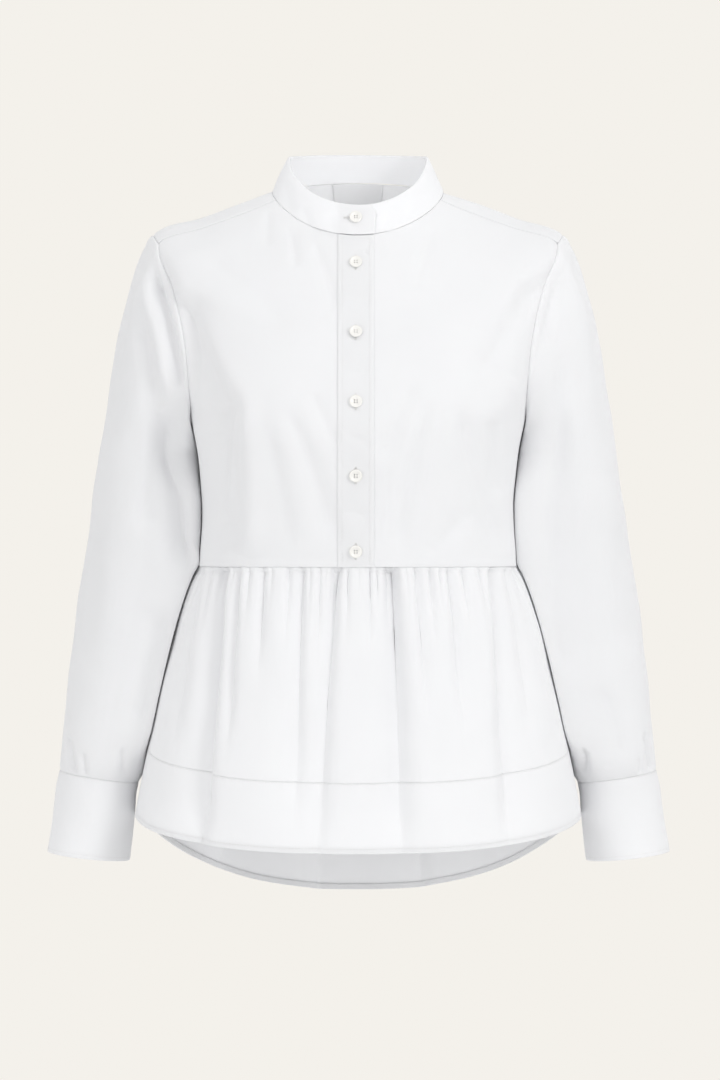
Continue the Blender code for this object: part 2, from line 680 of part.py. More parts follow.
def button_mesh():
    """The outline of a round button with a raised rim, from its middle to its edge and back."""
    outline = (
        (0.0, BUTTON_HEIGHT - BUTTON_DISH),
        (BUTTON_RADIUS - 2 * BUTTON_RIM, BUTTON_HEIGHT - BUTTON_DISH),
        (BUTTON_RADIUS - BUTTON_RIM, BUTTON_HEIGHT),
        (BUTTON_RADIUS - BUTTON_TOP_ROUNDING, BUTTON_HEIGHT),
        (BUTTON_RADIUS, BUTTON_WIDEST_HEIGHT),
        (BUTTON_RADIUS - BUTTON_UNDER_ROUNDING, 0.0),
        (0.0, 0.0),
    )
    mesh = bpy.data.meshes.new("button")
    points = [(radius, 0.0, height) for radius, height in outline]
    mesh.from_pydata(points, [(k, k + 1) for k in range(len(points) - 1)], [])
    return mesh


def place_button(name, mesh, seat, facing, home):
    """Stands a button on its seat, with its back to the cloth."""
    made = bpy.data.objects.new(name, mesh)
    home.objects.link(made)
    turned = made.modifiers.new("Turned", "SCREW")
    turned.steps = BUTTON_SIDES
    turned.render_steps = BUTTON_SIDES
    turned.use_merge_vertices = True
    turned.merge_threshold = 0.00001
    made.rotation_euler = Vector(facing).to_track_quat("Z", "Y").to_euler()
    made.location = seat


def seat(surface, level, across, lift):
    """The spot a given distance outside a surface, and the way the surface faces there."""
    step = 0.001
    down = surface(level + step, across) - surface(level - step, across)
    aside = surface(level, across + step) - surface(level, across - step)
    facing = np.cross(down, aside)
    facing /= np.linalg.norm(facing)
    return surface(level, across) + facing * lift, facing


def placket_surface(level, x):
    return body_point(np.array(level), angle_at_x(BODY, level, x))


def collar_surface(level, x):
    """The collar by the share of its height from the top, so that it runs down as the body does."""
    row = (1 - level) * (len(COLLAR) - 1)
    return ring_point(COLLAR, np.array(row), angle_at_x(COLLAR, row, x))


def cuff_surface(level, turn):
    return arm_point(CUFF, np.array(level), turn)


def level_at_height(surface, x, z, lowest):
    """The level at which a surface passes a given height on its front."""
    levels = np.linspace(0, lowest, 401)
    heights = np.array([surface(level, x)[2] for level in levels])
    return float(np.interp(-z, -heights, levels))


def build_buttons(look, home):
    mesh = button_mesh()
    mesh.materials.append(look)
    mesh.shade_smooth()
    places = []
    level = level_at_height(collar_surface, BUTTON_X, COLLAR_BUTTON_Z, 1.0)
    collar_lap = 1.5 * COLLAR_CLOTH + 2 * SEAM_GAP
    places.append(seat(collar_surface, level, BUTTON_X, collar_lap))
    placket_lap = CLOTH / 2 + BAND_CLOTH + 3 * SEAM_GAP
    for height in PLACKET_BUTTON_LEVELS:
        level = level_at_height(placket_surface, BUTTON_X, height, WAIST)
        places.append(seat(placket_surface, level, BUTTON_X, placket_lap))
    for number, (spot, facing) in enumerate(places, start=1):
        place_button(f"button_{number}", mesh, spot, facing, home)
    turn = math.radians(CUFF_LAP_AT + CUFF_LAP / 2)
    spot, facing = seat(cuff_surface, CUFF_BUTTON_DROP, turn, 1.5 * BAND_CLOTH + 2 * SEAM_GAP)
    place_button("cuff_button_left", mesh, spot, facing, home)
    flip = np.array([-1.0, 1.0, 1.0])
    place_button("cuff_button_right", mesh, spot * flip, facing * flip, home)


def build_sleeves(look, home):
    sleeve = sleeve_grid()
    cloth_piece("sleeve_left", sleeve, CLOTH, look, home, wraps=True)
    cloth_piece("sleeve_right", mirrored(sleeve), CLOTH, look, home, wraps=True)
    cuff = cuff_grid()
    cloth_piece("cuff_left", cuff, BAND_CLOTH, look, home)
    cloth_piece("cuff_right", mirrored(cuff), BAND_CLOTH, look, home)


def main():
    clear_scene()
    home = bpy.data.collections.new("Stand-collar blouse")
    bpy.context.scene.collection.children.link(home)
    cotton = material("White cotton", COTTON, COTTON_ROUGHNESS)
    button_look = material("Button", BUTTON_WHITE, BUTTON_ROUGHNESS)
    build_fronts(cotton, home)
    cloth_piece("placket", placket_grid(), BAND_CLOTH, cotton, home)
    build_yoke(cotton, home)
    build_back(cotton, home)
    cloth_piece("collar", collar_grid(), COLLAR_CLOTH, cotton, home)
    build_patch(cotton, home)
    build_sleeves(cotton, home)
    build_peplum(cotton, home)
    build_buttons(button_look, home)


main()
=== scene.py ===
"""The looks of a white cotton blouse: its cloth with creases, gathers and seams, its
stitches, buttons and buttonholes, the cotton itself, and a pale studio.

Metres. +Z is up, +X is the wearer's left and -Y is the front. The origin is the middle of
the neck base, level with the points where the shoulders meet the neck.
"""

import math
from collections import namedtuple

import bpy
import numpy as np
from mathutils import Matrix, Vector


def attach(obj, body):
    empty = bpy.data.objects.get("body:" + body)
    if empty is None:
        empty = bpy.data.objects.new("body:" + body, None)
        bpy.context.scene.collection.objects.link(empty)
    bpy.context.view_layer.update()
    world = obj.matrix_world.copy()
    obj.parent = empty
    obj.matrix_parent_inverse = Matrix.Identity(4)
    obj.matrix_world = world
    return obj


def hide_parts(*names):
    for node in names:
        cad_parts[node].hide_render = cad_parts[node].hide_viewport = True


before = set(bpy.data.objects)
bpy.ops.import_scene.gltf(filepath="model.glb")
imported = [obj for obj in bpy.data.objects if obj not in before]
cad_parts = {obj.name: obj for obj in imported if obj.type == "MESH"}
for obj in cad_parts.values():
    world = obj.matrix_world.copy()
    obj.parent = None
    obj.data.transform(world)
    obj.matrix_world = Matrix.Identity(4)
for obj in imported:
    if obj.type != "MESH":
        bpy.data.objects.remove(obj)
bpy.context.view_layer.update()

# Cloth
CLOTH = 0.0010
COLLAR_CLOTH = 0.0018
BAND_CLOTH = 0.0011
SEAM_GAP = 0.0003
HAIRLINE = 0.00005
ARMHOLE_GAP = 0.0002

# Levels and lengths down the centre
WAIST_Z = -0.358
SIDE_HEM_Z = -0.596
FRONT_HEM_DROP = 0.0245
BACK_HEM_DROP = 0.086
HEM_BAND_DEPTH = 0.064
HEM_FOLD_DEPTH = 0.0065

# Front closure, the wearer's right side laps over
PLACKET_RIGHT_X = -0.0187
PLACKET_LEFT_X = 0.0150
UNDERLAP_X = -0.0152
PLACKET_TOP_LEVEL = 0.07
COLLAR_END_RADIUS = 0.012
COLLAR_LAP_START = 306.0
COLLAR_LAP_RISE = 29.0

# Seams of the yoke, as degrees round the body from the centre front
YOKE_SEAM_AT_NECK = 73.0
YOKE_SEAM_AT_TIP = 75.0

# Armhole half width, as degrees either side of the side seam
ARMHOLE_AT_TIP = 15.0
ARMHOLE_WIDEST = 26.0
ARMHOLE_CURVE = 0.7

# Rows of BODY that carry the main seams
TIP = 3
WIDEST = 5
UNDERARM = 7
WAIST = 10
TIP_GAP = 0.006
YOKE_TOP_LEVEL = 0.03
UNDERARM_ROWS = (0.30, 0.22, 0.16, 0.11, 0.07, 0.04, 0.02, 0.01, 0.004)

# Body rings from the neck seam to the waist seam. Each is a rounded oval with its own
# front, side and back heights, and dip says how fast it falls away from the side.
Ring = namedtuple("Ring", "half_width front_y side_y back_y front_z side_z back_z squareness dip")
BODY = (
    Ring(0.0815, -0.0730, -0.006, 0.062, -0.047, 0.0000, 0.016, 2.00, 1.3),
    Ring(0.1120, -0.0885, -0.003, 0.078, -0.079, -0.0105, -0.012, 2.05, 1.4),
    Ring(0.1520, -0.0985, 0.000, 0.090, -0.105, -0.0250, -0.045, 2.10, 1.5),
    Ring(0.1955, -0.1080, 0.002, 0.098, -0.130, -0.0410, -0.079, 2.15, 1.6),
    Ring(0.1885, -0.1185, 0.003, 0.103, -0.154, -0.0800, -0.110, 2.25, 1.7),
    Ring(0.1800, -0.1290, 0.003, 0.106, -0.183, -0.1250, -0.147, 2.40, 1.8),
    Ring(0.1710, -0.1355, 0.003, 0.108, -0.212, -0.1710, -0.184, 2.50, 1.9),
    Ring(0.1610, -0.1380, 0.002, 0.108, -0.238, -0.2130, -0.218, 2.50, 2.0),
    Ring(0.1525, -0.1345, 0.001, 0.104, -0.270, -0.2535, -0.257, 2.45, 2.0),
    Ring(0.1492, -0.1275, 0.000, 0.099, -0.312, -0.3060, -0.307, 2.40, 2.0),
    Ring(0.1522, -0.1200, 0.000, 0.095, WAIST_Z, WAIST_Z, WAIST_Z, 2.35, 2.0),
)
COLLAR = (
    Ring(0.0812, -0.0730, -0.006, 0.062, -0.0465, 0.0005, 0.0165, 2.00, 1.3),
    Ring(0.0742, -0.0672, -0.006, 0.0565, -0.0320, 0.0175, 0.0295, 2.00, 1.2),
    Ring(0.0660, -0.0605, -0.006, 0.050, -0.0175, 0.0340, 0.0420, 2.00, 1.05),
)

# Rows and columns of each piece's mesh between its seams
FRONT_ROWS = 145
FRONT_COLUMNS = 78
YOKE_ROWS = 52
YOKE_COLUMNS = 220
BACK_ROWS = 150
BACK_COLUMNS = 116
PLACKET_ROWS = 190
PLACKET_COLUMNS = 14
COLLAR_ROWS = 26
COLLAR_COLUMNS = 200
PATCH_ROWS = 24
PATCH_COLUMNS = 41
SLEEVE_COLUMNS = 164
CAP_ROWS = 46
ARM_ROWS = 92
CUFF_ROWS = 30
CUFF_COLUMNS = 110
PEPLUM_ROWS = 38
PEPLUM_COLUMNS = {"front": 640, "back": 520}
HEM_BAND_ROWS = 18
HEM_BAND_COLUMNS = 300

# How finely curves are measured, and how many degrees round the fronts' rows are spaced
LEVEL_STEPS = 1201
SWEEP_STEPS = 401
ARMHOLE_STEPS = 90
TIP_STEPS = 24
ARM_STEPS = 801
WAIST_STEPS = 1441
HEIGHT_STEPS = 401
FACING_STEP = 0.01
SEAT_STEP = 0.001
FRONT_SPACED_AT = 40.0

# Fullness over the chest
CHEST_X = 0.085
CHEST_Z = -0.205
CHEST_REACH = 0.006
CHEST_WIDTH = 0.050
CHEST_HEIGHT = 0.062

# Sleeve sections from the upper arm to the cuff seam, for the wearer's left arm
Section = namedtuple("Section", "middle_z middle_x half_width middle_y half_depth tilt")
ARM = (
    Section(-0.250, 0.2010, 0.0482, 0.026, 0.0600, 0.06),
    Section(-0.305, 0.2035, 0.0535, 0.028, 0.0585, 0.08),
    Section(-0.360, 0.2080, 0.0572, 0.029, 0.0570, 0.10),
    Section(-0.415, 0.2195, 0.0530, 0.027, 0.0545, 0.12),
    Section(-0.470, 0.2310, 0.0482, 0.023, 0.0515, 0.13),
    Section(-0.520, 0.2405, 0.0435, 0.019, 0.0470, 0.14),
    Section(-0.548, 0.2460, 0.0400, 0.018, 0.0425, 0.15),
    Section(-0.5608, 0.2497, 0.0372, 0.020, 0.0388, 0.15),
)
CUFF = (
    Section(-0.5610, 0.2497, 0.0370, 0.020, 0.0386, 0.15),
    Section(-0.6373, 0.2600, 0.0390, 0.018, 0.0400, 0.11),
)
CUFF_LAP = 30.0
CUFF_LAP_AT = 215.0
CUFF_LAP_START = 288.0
CUFF_LAP_RISE = 54.0

# The way the sleeve leaves the armhole, at the shoulder tip and at the underarm
CAP_TOP_PULL = (0.080, -0.060)
CAP_UNDER_PULL = (-0.012, -0.080)
CAP_FORWARD_PULL = 0.008
CAP_END_PULL_TOP = 0.16
CAP_END_PULL_UNDER = 0.056
UNDERARM_CLEARANCE = 0.002
UNDERARM_SHIFT_FADE = 10
CAP_FIRST_SHARES = (0.0, 0.004, 0.009, 0.016, 0.026)
CAP_EVEN_FROM = 0.04
ARM_FIRST_STEP = 0.02
FOLD_ROOM = 0.0002
HUG_REACH = 0.042
HUG_FADE = 0.030
WEDGE_TOP_Z = -0.225
WEDGE_BOTTOM_Z = -0.352
WEDGE_FADE = 0.025
WEDGE_SHARE = 0.75
WAIST_ROOM = 0.004
CORNER_SIDEWAYS = 0.010
CORNER_FORWARD = 0.016
CORNER_FADE = 0.050

# Peplum
HEM_HALF_WIDTH = 0.2134
HEM_FRONT_Y = -0.152
HEM_BACK_Y = 0.134
FLARE_POWER = 0.70
HEM_ROUNDING = 0.15
BACK_HEM_POWER = 1.2

# Gathers and long folds of the peplum: where each starts at the waist and ends at the hem,
# how deep and how wide it is, how far down it reaches, and how far it leans over
Fold = namedtuple("Fold", "waist_x hem_x depth width reach lean", defaults=(0.0,))
FOLD_STRENGTH = 1.55
GATHER_STRENGTH = 2.3
GATHER_REACH = 0.5
FOLD_START = 0.022
FOLD_AT_SEAM = 0.30
FOLD_FADE = 0.30
FOLD_SPREAD = 2.5
FOLD_SHARPNESS = 1.35
FRONT_FOLDS = (
    Fold(-0.147, -0.185, 0.0042, 0.0042, 0.75, -0.3),
    Fold(-0.1385, -0.172, 0.0022, 0.0026, 0.3),
    Fold(-0.131, -0.16, 0.002, 0.0024, 0.22, 0.2),
    Fold(-0.1245, -0.149, 0.0118, 0.005, 1.12, -0.5),
    Fold(-0.117, -0.139, 0.002, 0.0022, 0.2),
    Fold(-0.1105, -0.125, 0.0048, 0.0036, 0.72, -0.4),
    Fold(-0.1015, -0.112, 0.0022, 0.0028, 0.26, 0.2),
    Fold(-0.0885, -0.096, 0.003, 0.0034, 0.45),
    Fold(-0.08, -0.087, 0.0018, 0.0024, 0.2),
    Fold(-0.065, -0.072, 0.0026, 0.003, 0.34, 0.3),
    Fold(-0.051, -0.06, 0.0058, 0.0044, 1.0, -0.3),
    Fold(-0.044, -0.05, 0.0018, 0.0022, 0.24),
    Fold(-0.035, -0.042, 0.0022, 0.0028, 0.4),
    Fold(-0.03, -0.035, 0.0016, 0.002, 0.18),
    Fold(-0.0228, -0.03, 0.0022, 0.0026, 0.28, 0.2),
    Fold(-0.0165, -0.037, 0.0068, 0.0046, 1.12, -0.4),
    Fold(-0.009, -0.013, 0.002, 0.0026, 0.32),
    Fold(0.0015, 0.001, 0.0014, 0.0034, 0.2),
    Fold(0.0112, 0.012, 0.0028, 0.0028, 0.36),
    Fold(0.0178, 0.021, 0.002, 0.0024, 0.26),
    Fold(0.0268, 0.032, 0.0026, 0.0028, 0.3, 0.2),
    Fold(0.0335, 0.042, 0.0112, 0.0056, 1.12, -0.4),
    Fold(0.0445, 0.053, 0.0018, 0.0024, 0.2),
    Fold(0.053, 0.069, 0.0042, 0.0036, 0.58, 0.3),
    Fold(0.067, 0.08, 0.0026, 0.0028, 0.32),
    Fold(0.076, 0.089, 0.002, 0.0024, 0.24, 0.2),
    Fold(0.0835, 0.105, 0.0046, 0.004, 0.66, 0.3),
    Fold(0.0975, 0.118, 0.0024, 0.003, 0.3),
    Fold(0.113, 0.138, 0.0022, 0.0028, 0.26),
    Fold(0.1255, 0.141, 0.0064, 0.0048, 1.1, 0.4),
    Fold(0.14, 0.172, 0.0036, 0.0042, 0.7, 0.2),
    Fold(0.1475, 0.188, 0.002, 0.003, 0.3),
)
BACK_FOLDS = (
    Fold(-0.144, -0.185, 0.0046, 0.0044, 0.8, 0.3),
    Fold(-0.136, -0.168, 0.002, 0.0026, 0.28),
    Fold(-0.127, -0.16, 0.0026, 0.0028, 0.36),
    Fold(-0.119, -0.148, 0.0018, 0.0024, 0.22, 0.2),
    Fold(-0.108, -0.14, 0.0078, 0.005, 1.15, 0.4),
    Fold(-0.099, -0.126, 0.002, 0.0026, 0.26),
    Fold(-0.09, -0.113, 0.003, 0.0032, 0.44),
    Fold(-0.08, -0.099, 0.0018, 0.0024, 0.2, 0.2),
    Fold(-0.0665, -0.082, 0.0046, 0.0038, 0.7, -0.3),
    Fold(-0.058, -0.072, 0.002, 0.0026, 0.3),
    Fold(-0.048, -0.059, 0.0028, 0.003, 0.36),
    Fold(-0.039, -0.047, 0.0018, 0.0024, 0.22),
    Fold(-0.029, -0.04, 0.0066, 0.0048, 1.2, 0.4),
    Fold(-0.019, -0.024, 0.0022, 0.0028, 0.32),
    Fold(-0.009, -0.011, 0.0028, 0.003, 0.4, 0.2),
    Fold(0.002, 0.003, 0.0018, 0.0026, 0.24),
    Fold(0.012, 0.017, 0.0042, 0.0038, 0.62, -0.3),
    Fold(0.022, 0.029, 0.0022, 0.0026, 0.28),
    Fold(0.033, 0.042, 0.0028, 0.003, 0.34, 0.2),
    Fold(0.048, 0.065, 0.0076, 0.005, 1.2, -0.4),
    Fold(0.059, 0.075, 0.0018, 0.0024, 0.22),
    Fold(0.069, 0.086, 0.0028, 0.003, 0.42),
    Fold(0.079, 0.098, 0.002, 0.0026, 0.26),
    Fold(0.088, 0.112, 0.0046, 0.004, 0.8, 0.3),
    Fold(0.099, 0.126, 0.0022, 0.0028, 0.3),
    Fold(0.109, 0.14, 0.0028, 0.003, 0.36, 0.2),
    Fold(0.12, 0.152, 0.002, 0.0026, 0.24),
    Fold(0.136, 0.175, 0.0064, 0.0046, 1.1, -0.3),
    Fold(0.145, 0.186, 0.0022, 0.003, 0.32),
)
SIDE_GATHER_DEPTH = 0.0030
SIDE_GATHER_COUNT = 46.0
SIDE_GATHER_REACH = 0.14
SIDE_GATHER_START = 0.90
SIDE_GATHER_FADE = 0.08
SIDE_SEAM_FADE = 0.012

# Creases seen from the front, and similar ones on the back: each runs from its start to its
# end in x and z, bows aside by bow, and sinks by depth, or stands up where depth is negative
Crease = namedtuple(
    "Crease",
    "start_x start_z end_x end_z bow depth start_width end_width lean",
    defaults=(0.0,),
)
CREASE_END = 0.22
CREASE_OVERLAP = 0.02
CREASE_BLEND = 0.35
CREASE_STRENGTH = 1.6
BODICE_FRONT_CREASES = (
    Crease(-0.178, -0.075, -0.098, -0.215, -0.004, -0.003, 0.01, 0.014),
    Crease(-0.104, -0.185, -0.101, -0.356, 0.004, -0.0036, 0.01, 0.012),
    Crease(-0.168, -0.095, -0.124, -0.235, 0.0, 0.0078, 0.014, 0.02),
    Crease(-0.134, -0.19, -0.124, -0.352, 0.0, 0.005, 0.016, 0.013),
    Crease(-0.112, -0.2, -0.128, -0.318, 0.002, -0.0022, 0.005, 0.006),
    Crease(-0.066, -0.036, -0.058, -0.08, 0.001, 0.0012, 0.004, 0.005),
    Crease(-0.043, -0.05, -0.02, -0.122, 0.002, 0.0013, 0.005, 0.008),
    Crease(-0.084, -0.016, -0.087, -0.06, 0.0, 0.001, 0.004, 0.006),
    Crease(-0.07, -0.205, -0.022, -0.345, 0.004, 0.0026, 0.008, 0.013, 0.3),
    Crease(-0.084, -0.225, -0.06, -0.35, 0.0, 0.0014, 0.007, 0.01),
    Crease(-0.044, -0.195, -0.02, -0.25, 0.001, 0.0012, 0.006, 0.008),
    Crease(-0.15, -0.06, -0.06, -0.14, 0.003, 0.0012, 0.01, 0.014),
    Crease(0.055, -0.185, 0.02, -0.262, -0.001, 0.0018, 0.007, 0.01),
    Crease(0.068, -0.198, 0.034, -0.354, -0.002, 0.0028, 0.007, 0.011, -0.3),
    Crease(0.092, -0.205, 0.138, -0.35, -0.003, 0.0032, 0.008, 0.014, 0.3),
    Crease(0.126, -0.21, 0.132, -0.3, 0.0, 0.0022, 0.006, 0.009),
    Crease(0.172, -0.078, 0.108, -0.19, 0.003, 0.003, 0.01, 0.016),
    Crease(0.15, -0.18, 0.118, -0.23, 0.0, -0.0016, 0.01, 0.012),
    Crease(0.07, -0.038, 0.052, -0.105, 0.001, 0.001, 0.005, 0.008),
    Crease(0.11, -0.3, 0.06, -0.354, 0.0, 0.0014, 0.008, 0.01),
)
BODICE_BACK_CREASES = (
    Crease(-0.172, -0.09, -0.112, -0.205, -0.003, 0.004, 0.012, 0.018),
    Crease(-0.12, -0.19, -0.1, -0.35, 0.003, 0.0036, 0.012, 0.013),
    Crease(-0.088, -0.215, -0.052, -0.35, 0.003, 0.0026, 0.008, 0.012, 0.3),
    Crease(-0.04, -0.23, -0.028, -0.352, 0.0, 0.002, 0.008, 0.01),
    Crease(-0.02, -0.095, 0.03, -0.2, 0.003, 0.0014, 0.009, 0.014),
    Crease(0.008, -0.245, 0.004, -0.353, 0.0, 0.0018, 0.007, 0.01),
    Crease(0.048, -0.22, 0.036, -0.352, -0.002, 0.0026, 0.008, 0.012, -0.3),
    Crease(0.086, -0.205, 0.08, -0.35, 0.002, 0.003, 0.009, 0.013),
    Crease(0.118, -0.2, 0.122, -0.345, 0.002, 0.004, 0.011, 0.014),
    Crease(0.17, -0.088, 0.104, -0.196, 0.003, 0.0036, 0.011, 0.017),
)
RIGHT_SLEEVE_FRONT_CREASES = (
    Crease(-0.199, -0.07, -0.168, -0.205, 0.004, 0.006, 0.006, 0.009, 0.4),
    Crease(-0.192, -0.048, -0.187, -0.104, 0.0, 0.0022, 0.004, 0.005),
    Crease(-0.205, -0.085, -0.176, -0.205, 0.003, -0.0028, 0.006, 0.008),
    Crease(-0.183, -0.205, -0.16, -0.37, 0.0, 0.0095, 0.01, 0.016),
    Crease(-0.206, -0.115, -0.19, -0.262, 0.003, 0.003, 0.008, 0.01),
    Crease(-0.192, -0.235, -0.203, -0.33, 0.003, 0.0026, 0.009, 0.012),
    Crease(-0.222, -0.095, -0.24, -0.25, -0.003, 0.002, 0.01, 0.016),
    Crease(-0.252, -0.3, -0.262, -0.47, 0.0, 0.002, 0.012, 0.014),
    Crease(-0.19, -0.39, -0.214, -0.52, 0.0, 0.0036, 0.012, 0.012),
    Crease(-0.277, -0.52, -0.272, -0.56, 0.0, 0.003, 0.003, 0.0036),
    Crease(-0.262, -0.535, -0.26, -0.56, 0.0, 0.0016, 0.0026, 0.003),
    Crease(-0.226, -0.53, -0.223, -0.56, 0.0, 0.0018, 0.0028, 0.003),
)
LEFT_SLEEVE_FRONT_CREASES = (
    Crease(0.205, -0.058, 0.213, -0.09, 0.001, 0.0016, 0.004, 0.005),
    Crease(0.188, -0.075, 0.176, -0.16, -0.002, 0.002, 0.006, 0.007),
    Crease(0.198, -0.15, 0.176, -0.345, 0.004, 0.0034, 0.009, 0.014, -0.2),
    Crease(0.182, -0.3, 0.196, -0.47, -0.002, 0.003, 0.011, 0.014),
    Crease(0.222, -0.11, 0.24, -0.26, 0.003, 0.0018, 0.009, 0.014),
    Crease(0.252, -0.3, 0.262, -0.45, 0.0, 0.0018, 0.012, 0.014),
    Crease(0.275, -0.515, 0.282, -0.56, 0.0, 0.0034, 0.003, 0.0036),
    Crease(0.268, -0.54, 0.27, -0.56, 0.0, 0.0016, 0.0026, 0.003),
    Crease(0.216, -0.53, 0.217, -0.56, 0.0, 0.0026, 0.0028, 0.0032),
    Crease(0.23, -0.47, 0.25, -0.545, 0.002, 0.0014, 0.009, 0.009),
)
LEFT_SLEEVE_BACK_CREASES = (
    Crease(0.196, -0.072, 0.172, -0.19, -0.003, 0.0046, 0.007, 0.01, -0.3),
    Crease(0.206, -0.12, 0.192, -0.27, 0.003, 0.003, 0.008, 0.011),
    Crease(0.18, -0.215, 0.172, -0.36, 0.0, 0.006, 0.01, 0.015),
    Crease(0.238, -0.15, 0.252, -0.33, 0.003, 0.0022, 0.01, 0.015),
    Crease(0.236, -0.35, 0.214, -0.43, 0.002, 0.003, 0.009, 0.012),
    Crease(0.204, -0.38, 0.224, -0.5, 0.0, 0.003, 0.011, 0.013),
    Crease(0.268, -0.5, 0.273, -0.56, 0.0, 0.0034, 0.0032, 0.004),
    Crease(0.248, -0.52, 0.25, -0.56, 0.0, 0.0026, 0.003, 0.0036),
    Crease(0.227, -0.53, 0.228, -0.56, 0.0, 0.0018, 0.0028, 0.0032),
)
RIGHT_SLEEVE_BACK_CREASES = (
    Crease(-0.199, -0.068, -0.17, -0.2, 0.004, 0.0052, 0.007, 0.01, 0.3),
    Crease(-0.21, -0.13, -0.196, -0.285, -0.003, 0.0026, 0.008, 0.011),
    Crease(-0.182, -0.215, -0.168, -0.355, 0.0, 0.007, 0.01, 0.015),
    Crease(-0.236, -0.16, -0.254, -0.345, -0.003, 0.0024, 0.01, 0.015),
    Crease(-0.24, -0.365, -0.212, -0.44, -0.002, 0.0026, 0.009, 0.012),
    Crease(-0.206, -0.395, -0.222, -0.51, 0.0, 0.0028, 0.011, 0.013),
    Crease(-0.27, -0.51, -0.274, -0.56, 0.0, 0.003, 0.0032, 0.004),
    Crease(-0.25, -0.525, -0.251, -0.56, 0.0, 0.0024, 0.003, 0.0036),
    Crease(-0.226, -0.535, -0.227, -0.56, 0.0, 0.0018, 0.0028, 0.0032),
)
COLLAR_CREASES = (
    Crease(-0.052, -0.018, -0.046, -0.046, 0.001, 0.0009, 0.005, 0.007),
    Crease(-0.07, 0.01, -0.064, -0.026, 0.001, 0.0008, 0.006, 0.006),
    Crease(-0.026, -0.024, -0.022, -0.05, 0.0, 0.0005, 0.005, 0.006),
    Crease(0.034, -0.022, 0.03, -0.048, 0.0, 0.0006, 0.005, 0.007),
    Crease(0.062, 0.002, 0.056, -0.034, 0.0, 0.0008, 0.006, 0.007),
)
PLACKET_CREASES = (
    Crease(0.014, -0.052, 0.006, -0.066, 0.0, 0.0008, 0.0024, 0.003),
    Crease(-0.018, -0.102, 0.01, -0.112, 0.0, 0.0004, 0.004, 0.005),
    Crease(-0.016, -0.17, 0.012, -0.176, 0.0, 0.0005, 0.005, 0.006),
    Crease(-0.014, -0.236, 0.014, -0.246, 0.0, 0.0005, 0.005, 0.006),
    Crease(-0.016, -0.305, 0.012, -0.312, 0.0, 0.0006, 0.005, 0.006),
)

# Slow unevenness of all the cloth, as waves over the metre along x, y and z
Wave = namedtuple("Wave", "x y z start height")
UNEVENNESS = (
    Wave(9.0, 5.0, 6.0, 0.4, 0.00050),
    Wave(-7.0, 8.0, 11.0, 1.9, 0.00040),
    Wave(17.0, -6.0, 9.0, 3.1, 0.00016),
    Wave(5.0, 13.0, -19.0, 4.7, 0.00014),
    Wave(31.0, 11.0, 8.0, 0.9, 0.00004),
    Wave(-23.0, 17.0, 33.0, 2.6, 0.00003),
)

# Seams: how far the cloth dips into them, stands up beside them and puckers along them
NEAR_SEAM = (0.0, 0.0005, 0.0011, 0.0018, 0.0028, 0.0042, 0.0060)
SEAM_DIP = 0.00014
SEAM_DIP_WIDTH = 0.0007
SEAM_RISE = 0.00035
SEAM_RISE_WIDTH = 0.0055
SEAM_RISE_FADE = 0.0016
PUCKER_HEIGHT = 0.00016
PUCKER_REACH = 0.0045
PUCKERS = ((0.0061, 0.0), (0.0093, 1.7), (0.0147, 0.6))
SEAM_HOLD = 0.016
SIDE_HOLD = 0.040
HEM_BAND_RISE = 0.00012
TUCK_HOLD = 3.0
PLACKET_STIFFNESS = 0.012
ARMHOLE_RISE = 0.0011
ARMHOLE_RISE_WIDTH = 0.0125
ARMHOLE_RISE_FADE = 0.0060
EDGE_ROLL = 0.0004
LAP_ROLL = 0.0005
EDGE_ROLL_WIDTH = 0.0010
PLACKET_PUCKER = 0.6
TURNING_PUCKER = 0.7
COLLAR_SOFTNESS = 0.5
CUFF_STITCHES_UP = 0.006
HEM_STITCHES_UP = 0.0042

# Buttons, their thread and buttonholes
BUTTON_RADIUS = 0.0060
BUTTON_HEIGHT = 0.0026
BUTTON_DISH = 0.0009
BUTTON_RIM = 0.0013
BUTTON_SIDES = 72
BUTTON_HOLE_SIDES = 20
BUTTON_SHARP_ANGLE = 40.0
BUTTON_HOLE_RADIUS = 0.00062
BUTTON_HOLE_OFFSET = 0.00118
THREAD_RADIUS = 0.00026
THREAD_STRANDS = (-0.6, 0.6)
PLACKET_BUTTON_LEVELS = (-0.0747, -0.1413, -0.2062, -0.2735, -0.3432)
BUTTON_X = -0.0020
COLLAR_BUTTON_Z = -0.0315
CUFF_BUTTON_DROP = 0.5
BUTTONHOLE_LENGTH = 0.0152
BUTTONHOLE_WIDTH = 0.0012
SATIN_STITCH_LENGTH = 0.0011
SATIN_STITCH_PITCH = 0.00038
SATIN_END_STITCHES = 9
SATIN_END_START = 0.0001
COLLAR_BUTTONHOLE_ASIDE = 0.0035

# Topstitching
STITCH_PITCH = 0.0030
STITCH_LENGTH = 0.0024
STITCH_RADIUS = 0.00018
STITCH_LIFT = 0.2 * STITCH_RADIUS
HEM_STITCH_ROWS = (-6, 2)
CUFF_STITCH_ROWS = (-7, 3)
PLACKET_STITCH_COLUMNS = (5, -6)

# Neck patch inside the back of the yoke
PATCH_TOP_HALF = 0.0252
PATCH_BOTTOM_HALF = 0.0220
PATCH_BOTTOM_LEVEL = 1.4

# A record for the cut of a piece that shows, laid flat, and how it is held; no piece here is given
# one
Cut = namedtuple("Cut", "width length area held hangs_from")

